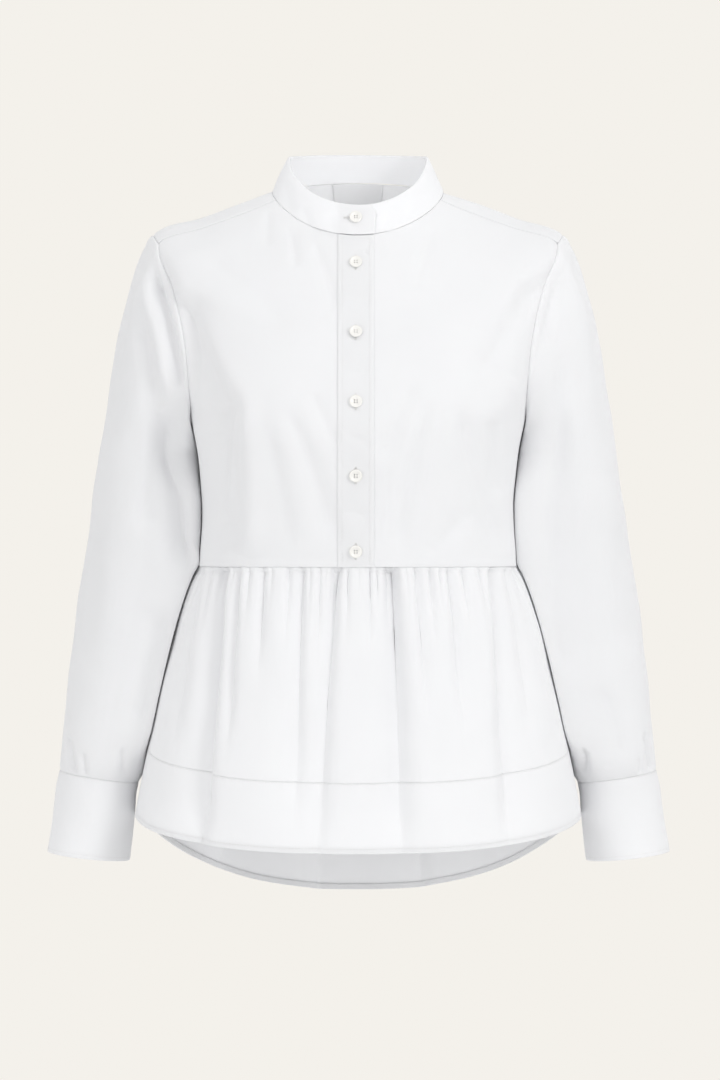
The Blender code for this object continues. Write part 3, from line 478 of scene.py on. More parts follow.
# Colours
COTTON = (0.86, 0.862, 0.872, 1.0)
COTTON_SHADE = (0.835, 0.838, 0.852, 1.0)
BUTTON_WHITE = (0.90, 0.885, 0.85, 1.0)
BUTTON_SHADE = 0.93
THREAD_WHITE = (0.80, 0.795, 0.78, 1.0)
THREAD_SHADE = 0.9
BACKDROP = (0.905, 0.880, 0.831, 1.0)
BACKDROP_BASE = (0.02, 0.02, 0.02, 1.0)
BACKDROP_GLOW = 0.98

# Surfaces: what is set on each shader, noise and bump
COTTON_SHADER = {
    "Metallic": 0.0,
    "Specular IOR Level": 0.30,
    "Sheen Weight": 0.18,
    "Sheen Roughness": 0.45,
    "Subsurface Weight": 0.45,
    "Subsurface Radius": (1.0, 1.0, 1.0),
    "Subsurface Scale": 0.003,
}
COTTON_ROUGHNESS = {"To Min": 0.78, "To Max": 0.92}
WEAVE_PITCHES = {"X": 0.00042, "Y": 0.00050}
SLUB_NOISE = {"Scale": 900.0, "Detail": 3.0}
RUMPLE_NOISE = {"Scale": 55.0, "Detail": 5.0, "Roughness": 0.55}
CLOUD_NOISE = {"Scale": 9.0, "Detail": 4.0}
RUMPLE_BUMP = {"Strength": 0.35, "Distance": 0.0004}
SLUB_BUMP = {"Strength": 0.25, "Distance": 0.00008}
WEAVE_BUMP = {"Strength": 0.35, "Distance": 0.00004}
BUTTON_SHADER = {"Roughness": 0.32, "Coat Weight": 0.25, "Coat Roughness": 0.15}
BUTTON_NOISE = {"Scale": 260.0, "Detail": 4.0}
THREAD_SHADER = {"Roughness": 0.75, "Sheen Weight": 0.2}
THREAD_NOISE = {"Scale": 2500.0}
BACKDROP_SHADER = {
    "Base Color": BACKDROP_BASE,
    "Roughness": 1.0,
    "Specular IOR Level": 0.0,
    "Emission Color": BACKDROP,
    "Emission Strength": BACKDROP_GLOW,
}

# Studio
CAMERA_AT = (0.0019, -3.2, -0.333)
CAMERA_LENS = 111.11
CAMERA_SENSOR = 36.0
FLOOR_Z = -1.35
SURROUND_RADIUS = 9.0
SURROUND_CURVE = 3.0
SURROUND_HEIGHT = 12.0
SURROUND_SIDES = 96
SURROUND_CURVE_STEPS = 17
WORLD_LIGHT = 0.80
AIM_AT = (0.0, 0.0, -0.30)
NECK_AIM_AT = (0.0, 0.058, 0.012)
Lamp = namedtuple("Lamp", "name spot aim size power")
LAMPS = (
    Lamp("Key", (2.0, -2.4, 0.7), AIM_AT, 0.8, 24.5),
    Lamp("Top", (0.2, -0.9, 2.2), AIM_AT, 1.0, 4.0),
    Lamp("Fill", (-1.3, -2.7, -0.9), AIM_AT, 1.6, 14.0),
    Lamp("Neck", (0.0, -0.045, -0.070), NECK_AIM_AT, 0.05, 0.062),
)


# Shape of the garment


def between(table, at):
    """The table's columns at a fractional row, on a smooth curve through its rows."""
    rows = np.array(table)
    at = np.clip(np.asarray(at, float), 0, len(rows) - 1)
    low = np.minimum(at.astype(int), len(rows) - 2)
    part = (at - low)[..., None]
    before = rows[np.maximum(low - 1, 0)]
    start = rows[low]
    end = rows[low + 1]
    after = rows[np.minimum(low + 2, len(rows) - 1)]
    pull_start = (end - before) / 2
    pull_end = (after - start) / 2
    return (
        start * (2 * part**3 - 3 * part**2 + 1)
        + end * (3 * part**2 - 2 * part**3)
        + pull_start * (part**3 - 2 * part**2 + part)
        + pull_end * (part**3 - part**2)
    )


def smooth(share):
    """A soft step from 0 to 1."""
    share = np.clip(share, 0, 1)
    return share**2 * (3 - 2 * share)


def ring_point(table, level, angle):
    """A point of a ring, with the angle in radians from the centre front to the left."""
    columns = np.moveaxis(between(table, level), -1, 0)
    half_width, front_y, side_y, back_y, front_z, side_z, back_z, squareness, dip = columns
    across = np.sin(angle)
    ahead = np.cos(angle)
    reach = np.where(ahead > 0, front_y, back_y) - side_y
    fall = np.where(ahead > 0, front_z, back_z) - side_z
    x = half_width * np.sign(across) * np.abs(across) ** (2 / squareness)
    y = side_y + reach * np.abs(ahead) ** (2 / squareness)
    z = side_z + fall * np.abs(ahead) ** dip
    return np.stack([x, y, z], axis=-1)


def body_point(level, angle):
    """A point of the bodice, with the fullness of the chest added."""
    point = ring_point(BODY, level, angle)
    aside = (np.abs(point[..., 0]) - CHEST_X) / CHEST_WIDTH
    above = (point[..., 2] - CHEST_Z) / CHEST_HEIGHT
    fullness = CHEST_REACH * np.exp(-(aside**2) - above**2)
    point[..., 1] -= np.where(np.cos(angle) > 0, fullness * np.cos(angle), 0.0)
    return point


def angle_at_x(table, level, x):
    """The front angle at which a ring passes a given x."""
    columns = np.moveaxis(between(table, level), -1, 0)
    half_width = columns[Ring._fields.index("half_width")]
    squareness = columns[Ring._fields.index("squareness")]
    share = np.clip(np.abs(x) / half_width, 0, 1) ** (squareness / 2)
    return np.sign(x) * np.arcsin(share)


def armhole_half_angle(level):
    """How far the armhole's edge lies from the side seam, in radians."""
    level = np.asarray(level, float)
    upper = np.clip((level - TIP) / (WIDEST - TIP), 0, 1)
    lower = np.clip((level - WIDEST) / (UNDERARM - WIDEST), 0, 1)
    opening = np.sin(upper * math.pi / 2) ** ARMHOLE_CURVE
    rise = ARMHOLE_AT_TIP + (ARMHOLE_WIDEST - ARMHOLE_AT_TIP) * opening
    closing = ARMHOLE_WIDEST * np.sqrt(1 - lower**2)
    return np.radians(np.where(level < WIDEST, rise, closing))


def yoke_seam_angle(level):
    share = np.clip(np.asarray(level, float) / TIP, 0, 1)
    return np.radians(YOKE_SEAM_AT_NECK + (YOKE_SEAM_AT_TIP - YOKE_SEAM_AT_NECK) * share)


def front_edge_angle(level):
    """The outer edge of a front panel: yoke seam, then armhole, then side seam."""
    armhole = math.pi / 2 - armhole_half_angle(level)
    return np.where(np.asarray(level) < TIP, yoke_seam_angle(level), armhole)


def lengths_along(points):
    steps = np.linalg.norm(np.diff(points, axis=0), axis=1)
    return np.concatenate([[0], np.cumsum(steps)])


def points_at(points, along, wanted):
    return np.stack([np.interp(wanted, along, points[:, k]) for k in range(3)], axis=-1)


def spaced(length, middle, start=NEAR_SEAM, end=NEAR_SEAM):
    """Distances along a piece, closer together beside its two seams."""
    inner = np.linspace(start[-1], length - end[-1], middle + 2)[1:-1]
    return np.concatenate([start, inner, (length - np.array(end))[::-1]])


def spaced_levels(start, end, angle, middle):
    """Levels of the bodice that lie evenly apart on the cloth, closer at both seams."""
    fine = np.linspace(start, end, LEVEL_STEPS)
    along = lengths_along(body_point(fine, np.full_like(fine, angle)))
    return np.interp(spaced(along[-1], middle), along, fine)


def unit(vectors):
    return vectors / np.linalg.norm(vectors, axis=-1, keepdims=True)


def body_facing(level, angle):
    """The way the bodice faces at a point."""
    step = FACING_STEP
    down = body_point(level + step, angle) - body_point(level - step, angle)
    aside = body_point(level, angle + step) - body_point(level, angle - step)
    return unit(np.cross(down, aside))


def panel_grid(levels, start_angle, end_angle, middle):
    """Rows of bodice points between two angles, and the way that each point faces."""
    rows = []
    facings = []
    for level in levels:
        sweep = np.linspace(start_angle(level), end_angle(level), SWEEP_STEPS)
        line = body_point(np.full_like(sweep, level), sweep)
        facing = body_facing(np.full_like(sweep, level), sweep)
        along = lengths_along(line)
        wanted = np.clip(spaced(along[-1], middle), HAIRLINE, along[-1] - HAIRLINE)
        rows.append(points_at(line, along, wanted))
        facings.append(points_at(facing, along, wanted))
    return np.array(rows), unit(np.array(facings))


def grid_facing(grid, wraps=False):
    """The way that each point of a grid faces, on the side that the columns turn to."""
    if wraps:
        across = np.roll(grid, -1, axis=1) - np.roll(grid, 1, axis=1)
    else:
        across = np.gradient(grid, axis=1)
    return unit(np.cross(np.gradient(grid, axis=0), across))


def lifted(grid, facing, distance):
    return grid + facing * np.asarray(distance)[..., None]


def mirrored(grid):
    """The same piece on the other side, with its columns turned to keep it outside out."""
    return grid[:, ::-1] * np.array([-1.0, 1.0, 1.0])


def edge_distances(grid, wraps=False):
    """How far each point lies from the first and last column and the first and last row."""
    across = np.linalg.norm(np.diff(grid, axis=1), axis=-1)
    left = np.concatenate([np.zeros((len(grid), 1)), np.cumsum(across, axis=1)], axis=1)
    down = np.linalg.norm(np.diff(grid, axis=0), axis=-1)
    top = np.concatenate([np.zeros((1, grid.shape[1])), np.cumsum(down, axis=0)], axis=0)
    far = np.full_like(left, 1.0)
    if wraps:
        return far, far, top, top[-1:] - top
    return left, left[:, -1:] - left, top, top[-1:] - top


# Creases, seams and unevenness


def crease_depth(rows, x, z):
    """How far a set of creases sinks the cloth at each x and z."""
    total = np.zeros_like(x)
    for row in rows:
        along_x = row.end_x - row.start_x
        along_z = row.end_z - row.start_z
        length = math.hypot(along_x, along_z)
        share = ((x - row.start_x) * along_x + (z - row.start_z) * along_z) / length**2
        aside = ((z - row.start_z) * along_x - (x - row.start_x) * along_z) / length
        aside = aside - row.bow * 4 * share * (1 - share)
        width = row.start_width + (row.end_width - row.start_width) * np.clip(share, 0, 1)
        part = aside / width
        ends = smooth(share / CREASE_END) * smooth((1 - share) / CREASE_END)
        total += row.depth * ends * np.exp(-(part**2)) * (1 + row.lean * part)
    return CREASE_STRENGTH * total


def creases(grid, facing, front_rows, back_rows):
    """The relief of the creases, each on the side of the garment that it belongs to."""
    ahead = smooth((CREASE_OVERLAP - facing[..., 1]) / CREASE_BLEND)
    behind = smooth((CREASE_OVERLAP + facing[..., 1]) / CREASE_BLEND)
    x = grid[..., 0]
    z = grid[..., 2]
    return -ahead * crease_depth(front_rows, x, z) - behind * crease_depth(back_rows, x, z)


def unevenness(grid):
    """The relief of the cloth's slow, slight unevenness."""
    height = np.zeros(grid.shape[:2])
    for wave in UNEVENNESS:
        turns = wave.x * grid[..., 0] + wave.y * grid[..., 1] + wave.z * grid[..., 2]
        height += wave.height * np.sin(2 * math.pi * turns + wave.start)
    return height


def held(*distances):
    """The share of the creases that is left near seams, which hold the cloth in place."""
    return smooth(np.minimum.reduce(distances) / SEAM_HOLD)


def pucker(distance, along):
    """Small ripples that run across a sewn seam and die away beside it."""
    ripple = sum(np.sin(2 * math.pi * along / pitch + start) for pitch, start in PUCKERS)
    return PUCKER_HEIGHT * ripple / len(PUCKERS) * np.exp(-distance / PUCKER_REACH)


def seam(distance, along, rise=SEAM_RISE):
    """The relief beside a seam: a dip into it, a turning under the cloth, and puckers."""
    dip = -SEAM_DIP * np.exp(-((distance / SEAM_DIP_WIDTH) ** 2))
    turning = rise * smooth((SEAM_RISE_WIDTH - distance) / SEAM_RISE_FADE)
    return dip + turning + pucker(distance, along)


def rolled_edge(distance, roll=EDGE_ROLL):
    """The relief of a folded edge, which rolls down towards what lies beneath it."""
    return -roll * np.exp(-((distance / EDGE_ROLL_WIDTH) ** 2))


# Pieces of cloth


def mesh_of(name, grid, look, wraps=False):
    """A mesh through a grid of points, with a UV map in metres along the cloth."""
    rows, columns = grid.shape[:2]
    numbers = np.arange(rows * columns).reshape(rows, columns)
    across = np.linalg.norm(np.roll(grid, -1, axis=1) - grid, axis=-1)
    down = np.linalg.norm(np.diff(grid, axis=0), axis=-1)
    u = np.concatenate([np.zeros((rows, 1)), np.cumsum(across, axis=1)], axis=1)
    u -= u[:, [columns // 2]]
    v = -np.concatenate([np.zeros((1, columns)), np.cumsum(down, axis=0)], axis=0)
    v = np.concatenate([v, v[:, :1]], axis=1)
    last = columns if wraps else columns - 1
    left = np.arange(last)
    right = (left + 1) % columns
    corners = (
        (slice(None, -1), left, left),
        (slice(1, None), left, left),
        (slice(1, None), right, left + 1),
        (slice(None, -1), right, left + 1),
    )
    faces = np.stack([numbers[part][:, column] for part, column, _ in corners], axis=-1)
    map_u = np.stack([u[part][:, place] for part, _, place in corners], axis=-1)
    map_v = np.stack([v[part][:, place] for part, _, place in corners], axis=-1)
    mesh = bpy.data.meshes.new(name)
    mesh.from_pydata(grid.reshape(-1, 3).tolist(), [], faces.reshape(-1, 4).tolist())
    layer = mesh.uv_layers.new(name="Cloth")
    layer.data.foreach_set("uv", np.stack([map_u, map_v], axis=-1).reshape(-1))
    mesh.shade_smooth()
    mesh.materials.append(look)
    return mesh


def in_scene(name, data):
    made = bpy.data.objects.new(name, data)
    bpy.context.scene.collection.objects.link(made)
    return made


def cloth_piece(name, grid, thickness, look, wraps=False):
    """A wall of cloth through a grid of points, which stands for the CAD node of its name."""
    made = in_scene(name + "_cloth", mesh_of(name + "_cloth", grid, look, wraps))
    wall = made.modifiers.new("Cloth thickness", "SOLIDIFY")
    wall.thickness = thickness
    wall.offset = 0.0
    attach(made, "root")
    return made


def with_underarm_rows(levels):
    return np.unique(np.concatenate([levels, UNDERARM - np.array(UNDERARM_ROWS)]))


def build_front(name, centre_x, look, is_right):
    levels = spaced_levels(0.0, WAIST, math.radians(FRONT_SPACED_AT), FRONT_ROWS)

    def start(level):
        return angle_at_x(BODY, level, centre_x)

    grid, facing = panel_grid(with_underarm_rows(levels), start, front_edge_angle, FRONT_COLUMNS)
    if is_right:
        grid = mirrored(grid)
        facing = mirrored(facing)
    left, right, top, bottom = edge_distances(grid)
    side = left if is_right else right
    front_rows = BODICE_FRONT_CREASES + PLACKET_CREASES
    relief = creases(grid, facing, front_rows, BODICE_BACK_CREASES)
    relief = (relief + unevenness(grid) * smooth(side / SIDE_HOLD)) * held(side, top, bottom)
    relief += seam(side, top, 0.0) + seam(bottom, left) + pucker(top, left)
    return cloth_piece(name, lifted(grid, facing, relief), CLOTH, look)


def build_yoke(look):
    levels = spaced_levels(YOKE_TOP_LEVEL, TIP - TIP_GAP, math.pi, YOKE_ROWS)

    def end(level):
        return 2 * math.pi - yoke_seam_angle(level)

    grid, facing = panel_grid(levels, yoke_seam_angle, end, YOKE_COLUMNS)
    left, right, _, bottom = edge_distances(grid)
    relief = creases(grid, facing, BODICE_FRONT_CREASES, BODICE_BACK_CREASES)
    relief = (relief + unevenness(grid)) * held(left, right, bottom)
    relief += seam(np.minimum(left, right), bottom) + seam(bottom, left)
    return cloth_piece("yoke", lifted(grid, facing, relief), CLOTH, look)


def build_back(look):
    levels = spaced_levels(TIP + TIP_GAP, WAIST, math.pi, BACK_ROWS)

    def start(level):
        return math.pi / 2 + armhole_half_angle(level)

    def end(level):
        return 3 * math.pi / 2 - armhole_half_angle(level)

    grid, facing = panel_grid(with_underarm_rows(levels), start, end, BACK_COLUMNS)
    left, right, top, bottom = edge_distances(grid)
    side = np.minimum(left, right)
    relief = creases(grid, facing, BODICE_FRONT_CREASES, BODICE_BACK_CREASES)
    relief += unevenness(grid) * smooth(side / SIDE_HOLD)
    relief *= held(side, top, bottom)
    relief += seam(side, top, 0.0)
    relief += seam(top, left, 0.0) + seam(bottom, left)
    return cloth_piece("back", lifted(grid, facing, relief), CLOTH, look)


def placket_surface_grid():
    levels = spaced_levels(PLACKET_TOP_LEVEL, WAIST, 0.0, PLACKET_ROWS)
    across = PLACKET_RIGHT_X + spaced(PLACKET_LEFT_X - PLACKET_RIGHT_X, PLACKET_COLUMNS)
    level, x = np.meshgrid(levels, across, indexing="ij")
    angle = angle_at_x(BODY, level, x)
    facing = body_facing(level, angle)
    lift = (CLOTH + BAND_CLOTH) / 2 + SEAM_GAP
    return body_point(level, angle) + facing * lift, facing


def build_placket(look):
    grid, facing = placket_surface_grid()
    left, right, top, bottom = edge_distances(grid)
    edge = np.minimum(left, right)
    relief = (creases(grid, facing, PLACKET_CREASES, ()) + unevenness(grid)) * held(top, bottom)
    beneath = creases(grid, facing, BODICE_FRONT_CREASES, ())
    relief += beneath * held(top, bottom) * (1 - smooth(edge / PLACKET_STIFFNESS))
    relief += rolled_edge(edge) + PLACKET_PUCKER * pucker(edge, top) + seam(bottom, left, 0.0)
    grid = lifted(grid, facing, relief)
    return cloth_piece("placket", grid, BAND_CLOTH, look), grid


def collar_lift(turn):
    """How far the lapping end of the collar stands off the end beneath it."""
    share = (np.degrees(turn) - COLLAR_LAP_START) / COLLAR_LAP_RISE
    return (COLLAR_CLOTH + SEAM_GAP) * smooth(share)


def collar_base_grid():
    """The band from its end beneath, round the back, to its lapping end with a round corner."""
    top_row = len(COLLAR) - 1
    height = COLLAR[top_row].front_z - COLLAR[0].front_z
    length = 2 * math.pi * -COLLAR[0].front_y
    turns = spaced(length, COLLAR_COLUMNS) / length
    shares = 1 - spaced(height, COLLAR_ROWS) / height
    radius = COLLAR_END_RADIUS
    grid = []
    for share in shares:
        level = np.full_like(turns, share * top_row)
        start = angle_at_x(COLLAR, level[0], PLACKET_RIGHT_X)
        end = 2 * math.pi + angle_at_x(COLLAR, level[0], PLACKET_LEFT_X)
        angle = start + (end - start) * turns
        from_end = np.clip(radius + (end - angle) * COLLAR[0].front_y, 0, radius)
        fall = radius - np.sqrt(radius**2 - from_end**2)
        point = ring_point(COLLAR, level * (1 - fall / height), angle)
        outward = unit(point * np.array([1.0, 1.0, 0.0]))
        grid.append(lifted(point, outward, collar_lift(angle)))
    return np.array(grid)


def build_collar(look):
    grid = collar_base_grid()
    facing = grid_facing(grid)
    left, right, top, bottom = edge_distances(grid)
    relief = creases(grid, facing, COLLAR_CREASES, ())
    relief += COLLAR_SOFTNESS * (unevenness(grid) * held(bottom) + pucker(bottom, left))
    relief += rolled_edge(top) + rolled_edge(right, LAP_ROLL) + rolled_edge(bottom, SEAM_DIP)
    return cloth_piece("collar", lifted(grid, facing, relief), COLLAR_CLOTH, look)


def build_patch(look):
    levels = spaced_levels(YOKE_TOP_LEVEL, PATCH_BOTTOM_LEVEL, math.pi, PATCH_ROWS)
    rows = []
    for level in levels:
        share = (level - levels[0]) / (levels[-1] - levels[0])
        half = PATCH_TOP_HALF + (PATCH_BOTTOM_HALF - PATCH_TOP_HALF) * share
        reach = float(angle_at_x(BODY, level, half))
        angles = np.linspace(math.pi - reach, math.pi + reach, PATCH_COLUMNS)
        rows.append(body_point(np.full_like(angles, level), angles))
    inside = np.array(rows)
    inside = lifted(inside, grid_facing(inside), unevenness(inside) - CLOTH - 2 * SEAM_GAP)
    return cloth_piece("neck_patch", inside, CLOTH, look)


def arm_point(table, level, turn):
    """A point of a sleeve section, from the inner side by the front to the outer side."""
    columns = np.moveaxis(between(table, level), -1, 0)
    middle_z, middle_x, half_width, middle_y, half_depth, tilt = columns
    outward = -np.cos(turn) * half_width
    y = middle_y - np.sin(turn) * half_depth
    return np.stack([middle_x + outward, y, middle_z + tilt * outward], axis=-1)


def beside_body(grid, turn):
    """Fills out the inner front corner of the arm, where its cloth lies against the body."""
    share = ((turn > 0) & (turn < math.pi / 2)) * np.sin(2 * turn) ** 2
    height = smooth((ARM[0].middle_z - grid[..., 2]) / CORNER_FADE)
    height = height * smooth((grid[..., 2] - ARM[-1].middle_z) / CORNER_FADE)
    filled = grid.copy()
    filled[..., 0] -= CORNER_SIDEWAYS * share * height
    filled[..., 1] -= CORNER_FORWARD * share * height
    return filled


def armhole_loop(count):
    """The armhole seam of the wearer's left side, from the underarm up the front."""
    levels = TIP + (UNDERARM - TIP) * np.cos(np.linspace(0, math.pi / 2, ARMHOLE_STEPS))
    half = armhole_half_angle(levels)
    front = body_point(levels, math.pi / 2 - half)
    over = np.linspace(-half[-1], half[-1], TIP_STEPS)[1:-1]
    top = body_point(np.full_like(over, TIP), math.pi / 2 + over)
    back = body_point(levels, math.pi / 2 + half)[::-1]
    loop = np.concatenate([front, top, back])
    along = lengths_along(loop)
    return points_at(loop, along, np.linspace(0, along[-1], count, endpoint=False))


def side_reach(y, z):
    """The half width of the bodice and peplum at a depth and height."""
    heights = -np.array([row.side_z for row in BODY[UNDERARM:]])
    level = UNDERARM + np.interp(-z, heights, range(len(heights)))
    columns = np.moveaxis(between(BODY, level), -1, 0)
    half_width, front_y, side_y, back_y = columns[:4]
    squareness = columns[Ring._fields.index("squareness")]
    down = np.clip((WAIST_Z - z) / (WAIST_Z - SIDE_HEM_Z), 0, 1) ** FLARE_POWER
    half_width = half_width + (HEM_HALF_WIDTH - BODY[WAIST].half_width) * down
    front_y = front_y + (HEM_FRONT_Y - BODY[WAIST].front_y) * down
    back_y = back_y + (HEM_BACK_Y - BODY[WAIST].back_y) * down
    depth = (y - side_y) / (np.where(y > side_y, back_y, front_y) - side_y)
    return half_width * (1 - np.clip(depth, 0, 1) ** squareness) ** (1 / squareness)


def pressed_out(grid, opened):
    """Moves the sleeve off the bodice and peplum, and draws it against them where it hangs
    close by. An opened sleeve stands a little away in front beside the waist."""
    depth = grid[..., 1]
    height = grid[..., 2]
    folds = np.where(height < WAIST_Z + WAIST_ROOM, FOLD_ROOM, 0.0)
    top = BODY[UNDERARM].side_z - UNDERARM_CLEARANCE
    least = side_reach(depth, height) + CLOTH + SEAM_GAP + folds
    gap = grid[..., 0] - least
    hug = smooth((top - height) / HUG_FADE) * smooth((height - ARM[-1].middle_z) / CORNER_FADE)
    wedge = smooth((WEDGE_TOP_Z - height) / WEDGE_FADE)
    wedge = wedge * smooth((height - WEDGE_BOTTOM_Z) / WEDGE_FADE)
    hug = hug * (1 - opened * WEDGE_SHARE * wedge)
    drawn = np.where(gap > 0, gap * (1 - hug * (1 - smooth(gap / HUG_REACH))), 0.0)
    moved = grid.copy()
    moved[..., 0] = np.where(height < top, least + drawn, grid[..., 0])
    return moved


def room_beside_body(grid):
    """How far the sleeve lies from the bodice or peplum beside it, below the underarm."""
    room = np.abs(grid[..., 0]) - side_reach(grid[..., 1], grid[..., 2])
    return np.where(grid[..., 2] < BODY[UNDERARM].side_z, np.maximum(room, 0.0), 1.0)


def sleeve_grid(opened):
    """The wearer's left sleeve: a cap from the armhole, then the arm down to the cuff."""
    armhole = armhole_loop(SLEEVE_COLUMNS)
    turn = 2 * math.pi * np.arange(SLEEVE_COLUMNS) / SLEEVE_COLUMNS
    first = arm_point(ARM, np.zeros(SLEEVE_COLUMNS), turn)
    height = (1 - np.cos(turn)) / 2
    pull_x = CAP_UNDER_PULL[0] + (CAP_TOP_PULL[0] - CAP_UNDER_PULL[0]) * height
    pull_z = CAP_UNDER_PULL[1] + (CAP_TOP_PULL[1] - CAP_UNDER_PULL[1]) * height
    pull = np.stack([pull_x, -CAP_FORWARD_PULL * np.sin(turn), pull_z], axis=-1)
    armhole = armhole + ARMHOLE_GAP * unit(pull)
    armhole[:, 0] += (CLOTH + SEAM_GAP) * (1 - height) ** UNDERARM_SHIFT_FADE
    end_pull = unit(arm_point(ARM, np.full(SLEEVE_COLUMNS, ARM_FIRST_STEP), turn) - first)
    end_pull *= (CAP_END_PULL_UNDER + (CAP_END_PULL_TOP - CAP_END_PULL_UNDER) * height)[:, None]
    rows = []
    for share in [*CAP_FIRST_SHARES, *np.linspace(CAP_EVEN_FROM, 1, CAP_ROWS, endpoint=False)]:
        rows.append(
            armhole * (2 * share**3 - 3 * share**2 + 1)
            + first * (3 * share**2 - 2 * share**3)
            + pull * (share**3 - 2 * share**2 + share)
            + end_pull * (share**3 - share**2)
        )
    fine = np.linspace(0, len(ARM) - 1, ARM_STEPS)
    along = lengths_along(arm_point(ARM, fine, np.full_like(fine, math.pi / 2)))
    even = np.linspace(0, along[-1] - NEAR_SEAM[-1], ARM_ROWS)
    near_cuff = (along[-1] - np.array(NEAR_SEAM[:-1]))[::-1]
    for level in np.interp(np.concatenate([even, near_cuff]), along, fine):
        rows.append(arm_point(ARM, np.full(SLEEVE_COLUMNS, level), turn))
    grid = beside_body(np.array(rows), turn)
    grid[1:] = pressed_out(grid[1:], opened)
    return grid


def build_sleeve(name, look, is_right):
    grid = sleeve_grid(1.0 if is_right else 0.0)
    front_rows, back_rows = LEFT_SLEEVE_FRONT_CREASES, LEFT_SLEEVE_BACK_CREASES
    if is_right:
        grid = mirrored(grid)
        front_rows, back_rows = RIGHT_SLEEVE_FRONT_CREASES, RIGHT_SLEEVE_BACK_CREASES
    facing = grid_facing(grid, True)
    _, _, top, bottom = edge_distances(grid, True)
    around = np.cumsum(np.linalg.norm(np.roll(grid, -1, axis=1) - grid, axis=-1), axis=1)
    relief = creases(grid, facing, front_rows, back_rows) + unevenness(grid)
    relief *= held(top, TUCK_HOLD * bottom, room_beside_body(grid))
    relief += seam(top, around, 0.0) + seam(bottom, around, 0.0)
    roll = smooth(top / SEAM_RISE_FADE) * smooth((ARMHOLE_RISE_WIDTH - top) / ARMHOLE_RISE_FADE)
    relief += ARMHOLE_RISE * roll
    return cloth_piece(name, lifted(grid, facing, relief), CLOTH, look, True)


def cuff_grid():
    """The wearer's left cuff, with its end lapped over at the outer back."""
    length = 2 * math.pi * CUFF[0].half_width * (1 + CUFF_LAP / 360)
    past_start = spaced(length, CUFF_COLUMNS) / length * (360 + CUFF_LAP)
    turn = np.radians(CUFF_LAP_AT + past_start)
    lift = (BAND_CLOTH + SEAM_GAP) * smooth((past_start - CUFF_LAP_START) / CUFF_LAP_RISE)
    height = CUFF[0].middle_z - CUFF[-1].middle_z
    made = []
    for level in spaced(height, CUFF_ROWS) / height:
        point = arm_point(CUFF, np.full_like(turn, level), turn)
        opposite = arm_point(CUFF, np.full_like(turn, level), turn + math.pi)
        made.append(lifted(point, unit((point - opposite) * np.array([1.0, 1.0, 0.0])), lift))
    return np.array(made)


def build_cuff(name, look, is_right):
    grid = mirrored(cuff_grid()) if is_right else cuff_grid()
    left, right, top, bottom = edge_distances(grid)
    relief = seam(top, left, 0.0) + rolled_edge(bottom)
    relief += TURNING_PUCKER * pucker(np.abs(bottom - CUFF_STITCHES_UP), left)
    relief += rolled_edge(np.minimum(left, right), LAP_ROLL) + unevenness(grid) * held(top)
    grid = lifted(grid, grid_facing(grid), relief)
    return cloth_piece(name, grid, BAND_CLOTH, look), grid


def hem_share(angle):
    """How far the hem has fallen between the side seam, 0, and the centre, 1."""
    ahead = np.abs(np.cos(angle))
    most = math.sqrt(1 + HEM_ROUNDING**2) - HEM_ROUNDING
    return (np.sqrt(ahead**2 + HEM_ROUNDING**2) - HEM_ROUNDING) / most


def fold_ripple(folds, x, down):
    """How far the gathers and long folds sink the peplum at each x and way down."""
    ripple = np.zeros_like(x)
    flare = down**FLARE_POWER
    grown = FOLD_AT_SEAM + (1 - FOLD_AT_SEAM) * smooth(down / FOLD_START)
    for fold in folds:
        middle = fold.waist_x + (fold.hem_x - fold.waist_x) * flare
        fade = grown * smooth((fold.reach - down) / FOLD_FADE)
        part = (x - middle) / (fold.width * (1 + FOLD_SPREAD * down))
        part = part / np.where(part > 0, 1 + fold.lean, 1 - fold.lean)
        strength = GATHER_STRENGTH if fold.reach < GATHER_REACH else FOLD_STRENGTH
        ripple -= strength * fold.depth * fade * np.exp(-(np.abs(part) ** FOLD_SHARPNESS))
    return ripple


def peplum_point(is_back, place, down):
    """A point of the peplum: place is the share of the way round this half, from the
    wearer's right side seam for the front, and down is 0 at the waist and 1 at the hem."""
    sweep = np.linspace(-math.pi / 2, math.pi / 2, WAIST_STEPS) + (math.pi if is_back else 0)
    along = lengths_along(ring_point(BODY, np.full_like(sweep, WAIST), sweep))
    angle = np.interp(place * along[-1], along, sweep)
    waist = BODY[WAIST]
    flare = down**FLARE_POWER
    half_width = waist.half_width + (HEM_HALF_WIDTH - waist.half_width) * flare
    waist_y = waist.back_y if is_back else waist.front_y
    hem_y = HEM_BACK_Y if is_back else HEM_FRONT_Y
    depth = waist_y + (hem_y - waist_y) * flare
    across = np.sin(angle)
    x = half_width * np.sign(across) * np.abs(across) ** (2 / waist.squareness)
    y = depth * np.abs(np.cos(angle)) ** (2 / waist.squareness)
    drop = BACK_HEM_DROP if is_back else FRONT_HEM_DROP
    hem_z = SIDE_HEM_Z - drop * hem_share(angle) ** (BACK_HEM_POWER if is_back else 1)
    z = WAIST_Z + (hem_z - WAIST_Z) * down
    outward = unit(np.stack([x / half_width**2, y / depth**2, np.zeros_like(x)], axis=-1))
    ripple = fold_ripple(BACK_FOLDS if is_back else FRONT_FOLDS, x, down)
    at_side = smooth((np.abs(across) - SIDE_GATHER_START) / SIDE_GATHER_FADE)
    wave = (1 + np.sin(2 * math.pi * SIDE_GATHER_COUNT * place)) / 2
    ripple -= SIDE_GATHER_DEPTH * at_side * wave * np.exp(-down / SIDE_GATHER_REACH)
    edge = smooth(np.minimum(place, 1 - place) / SIDE_SEAM_FADE)
    return lifted(np.stack([x, y, z], axis=-1), outward, ripple * edge)


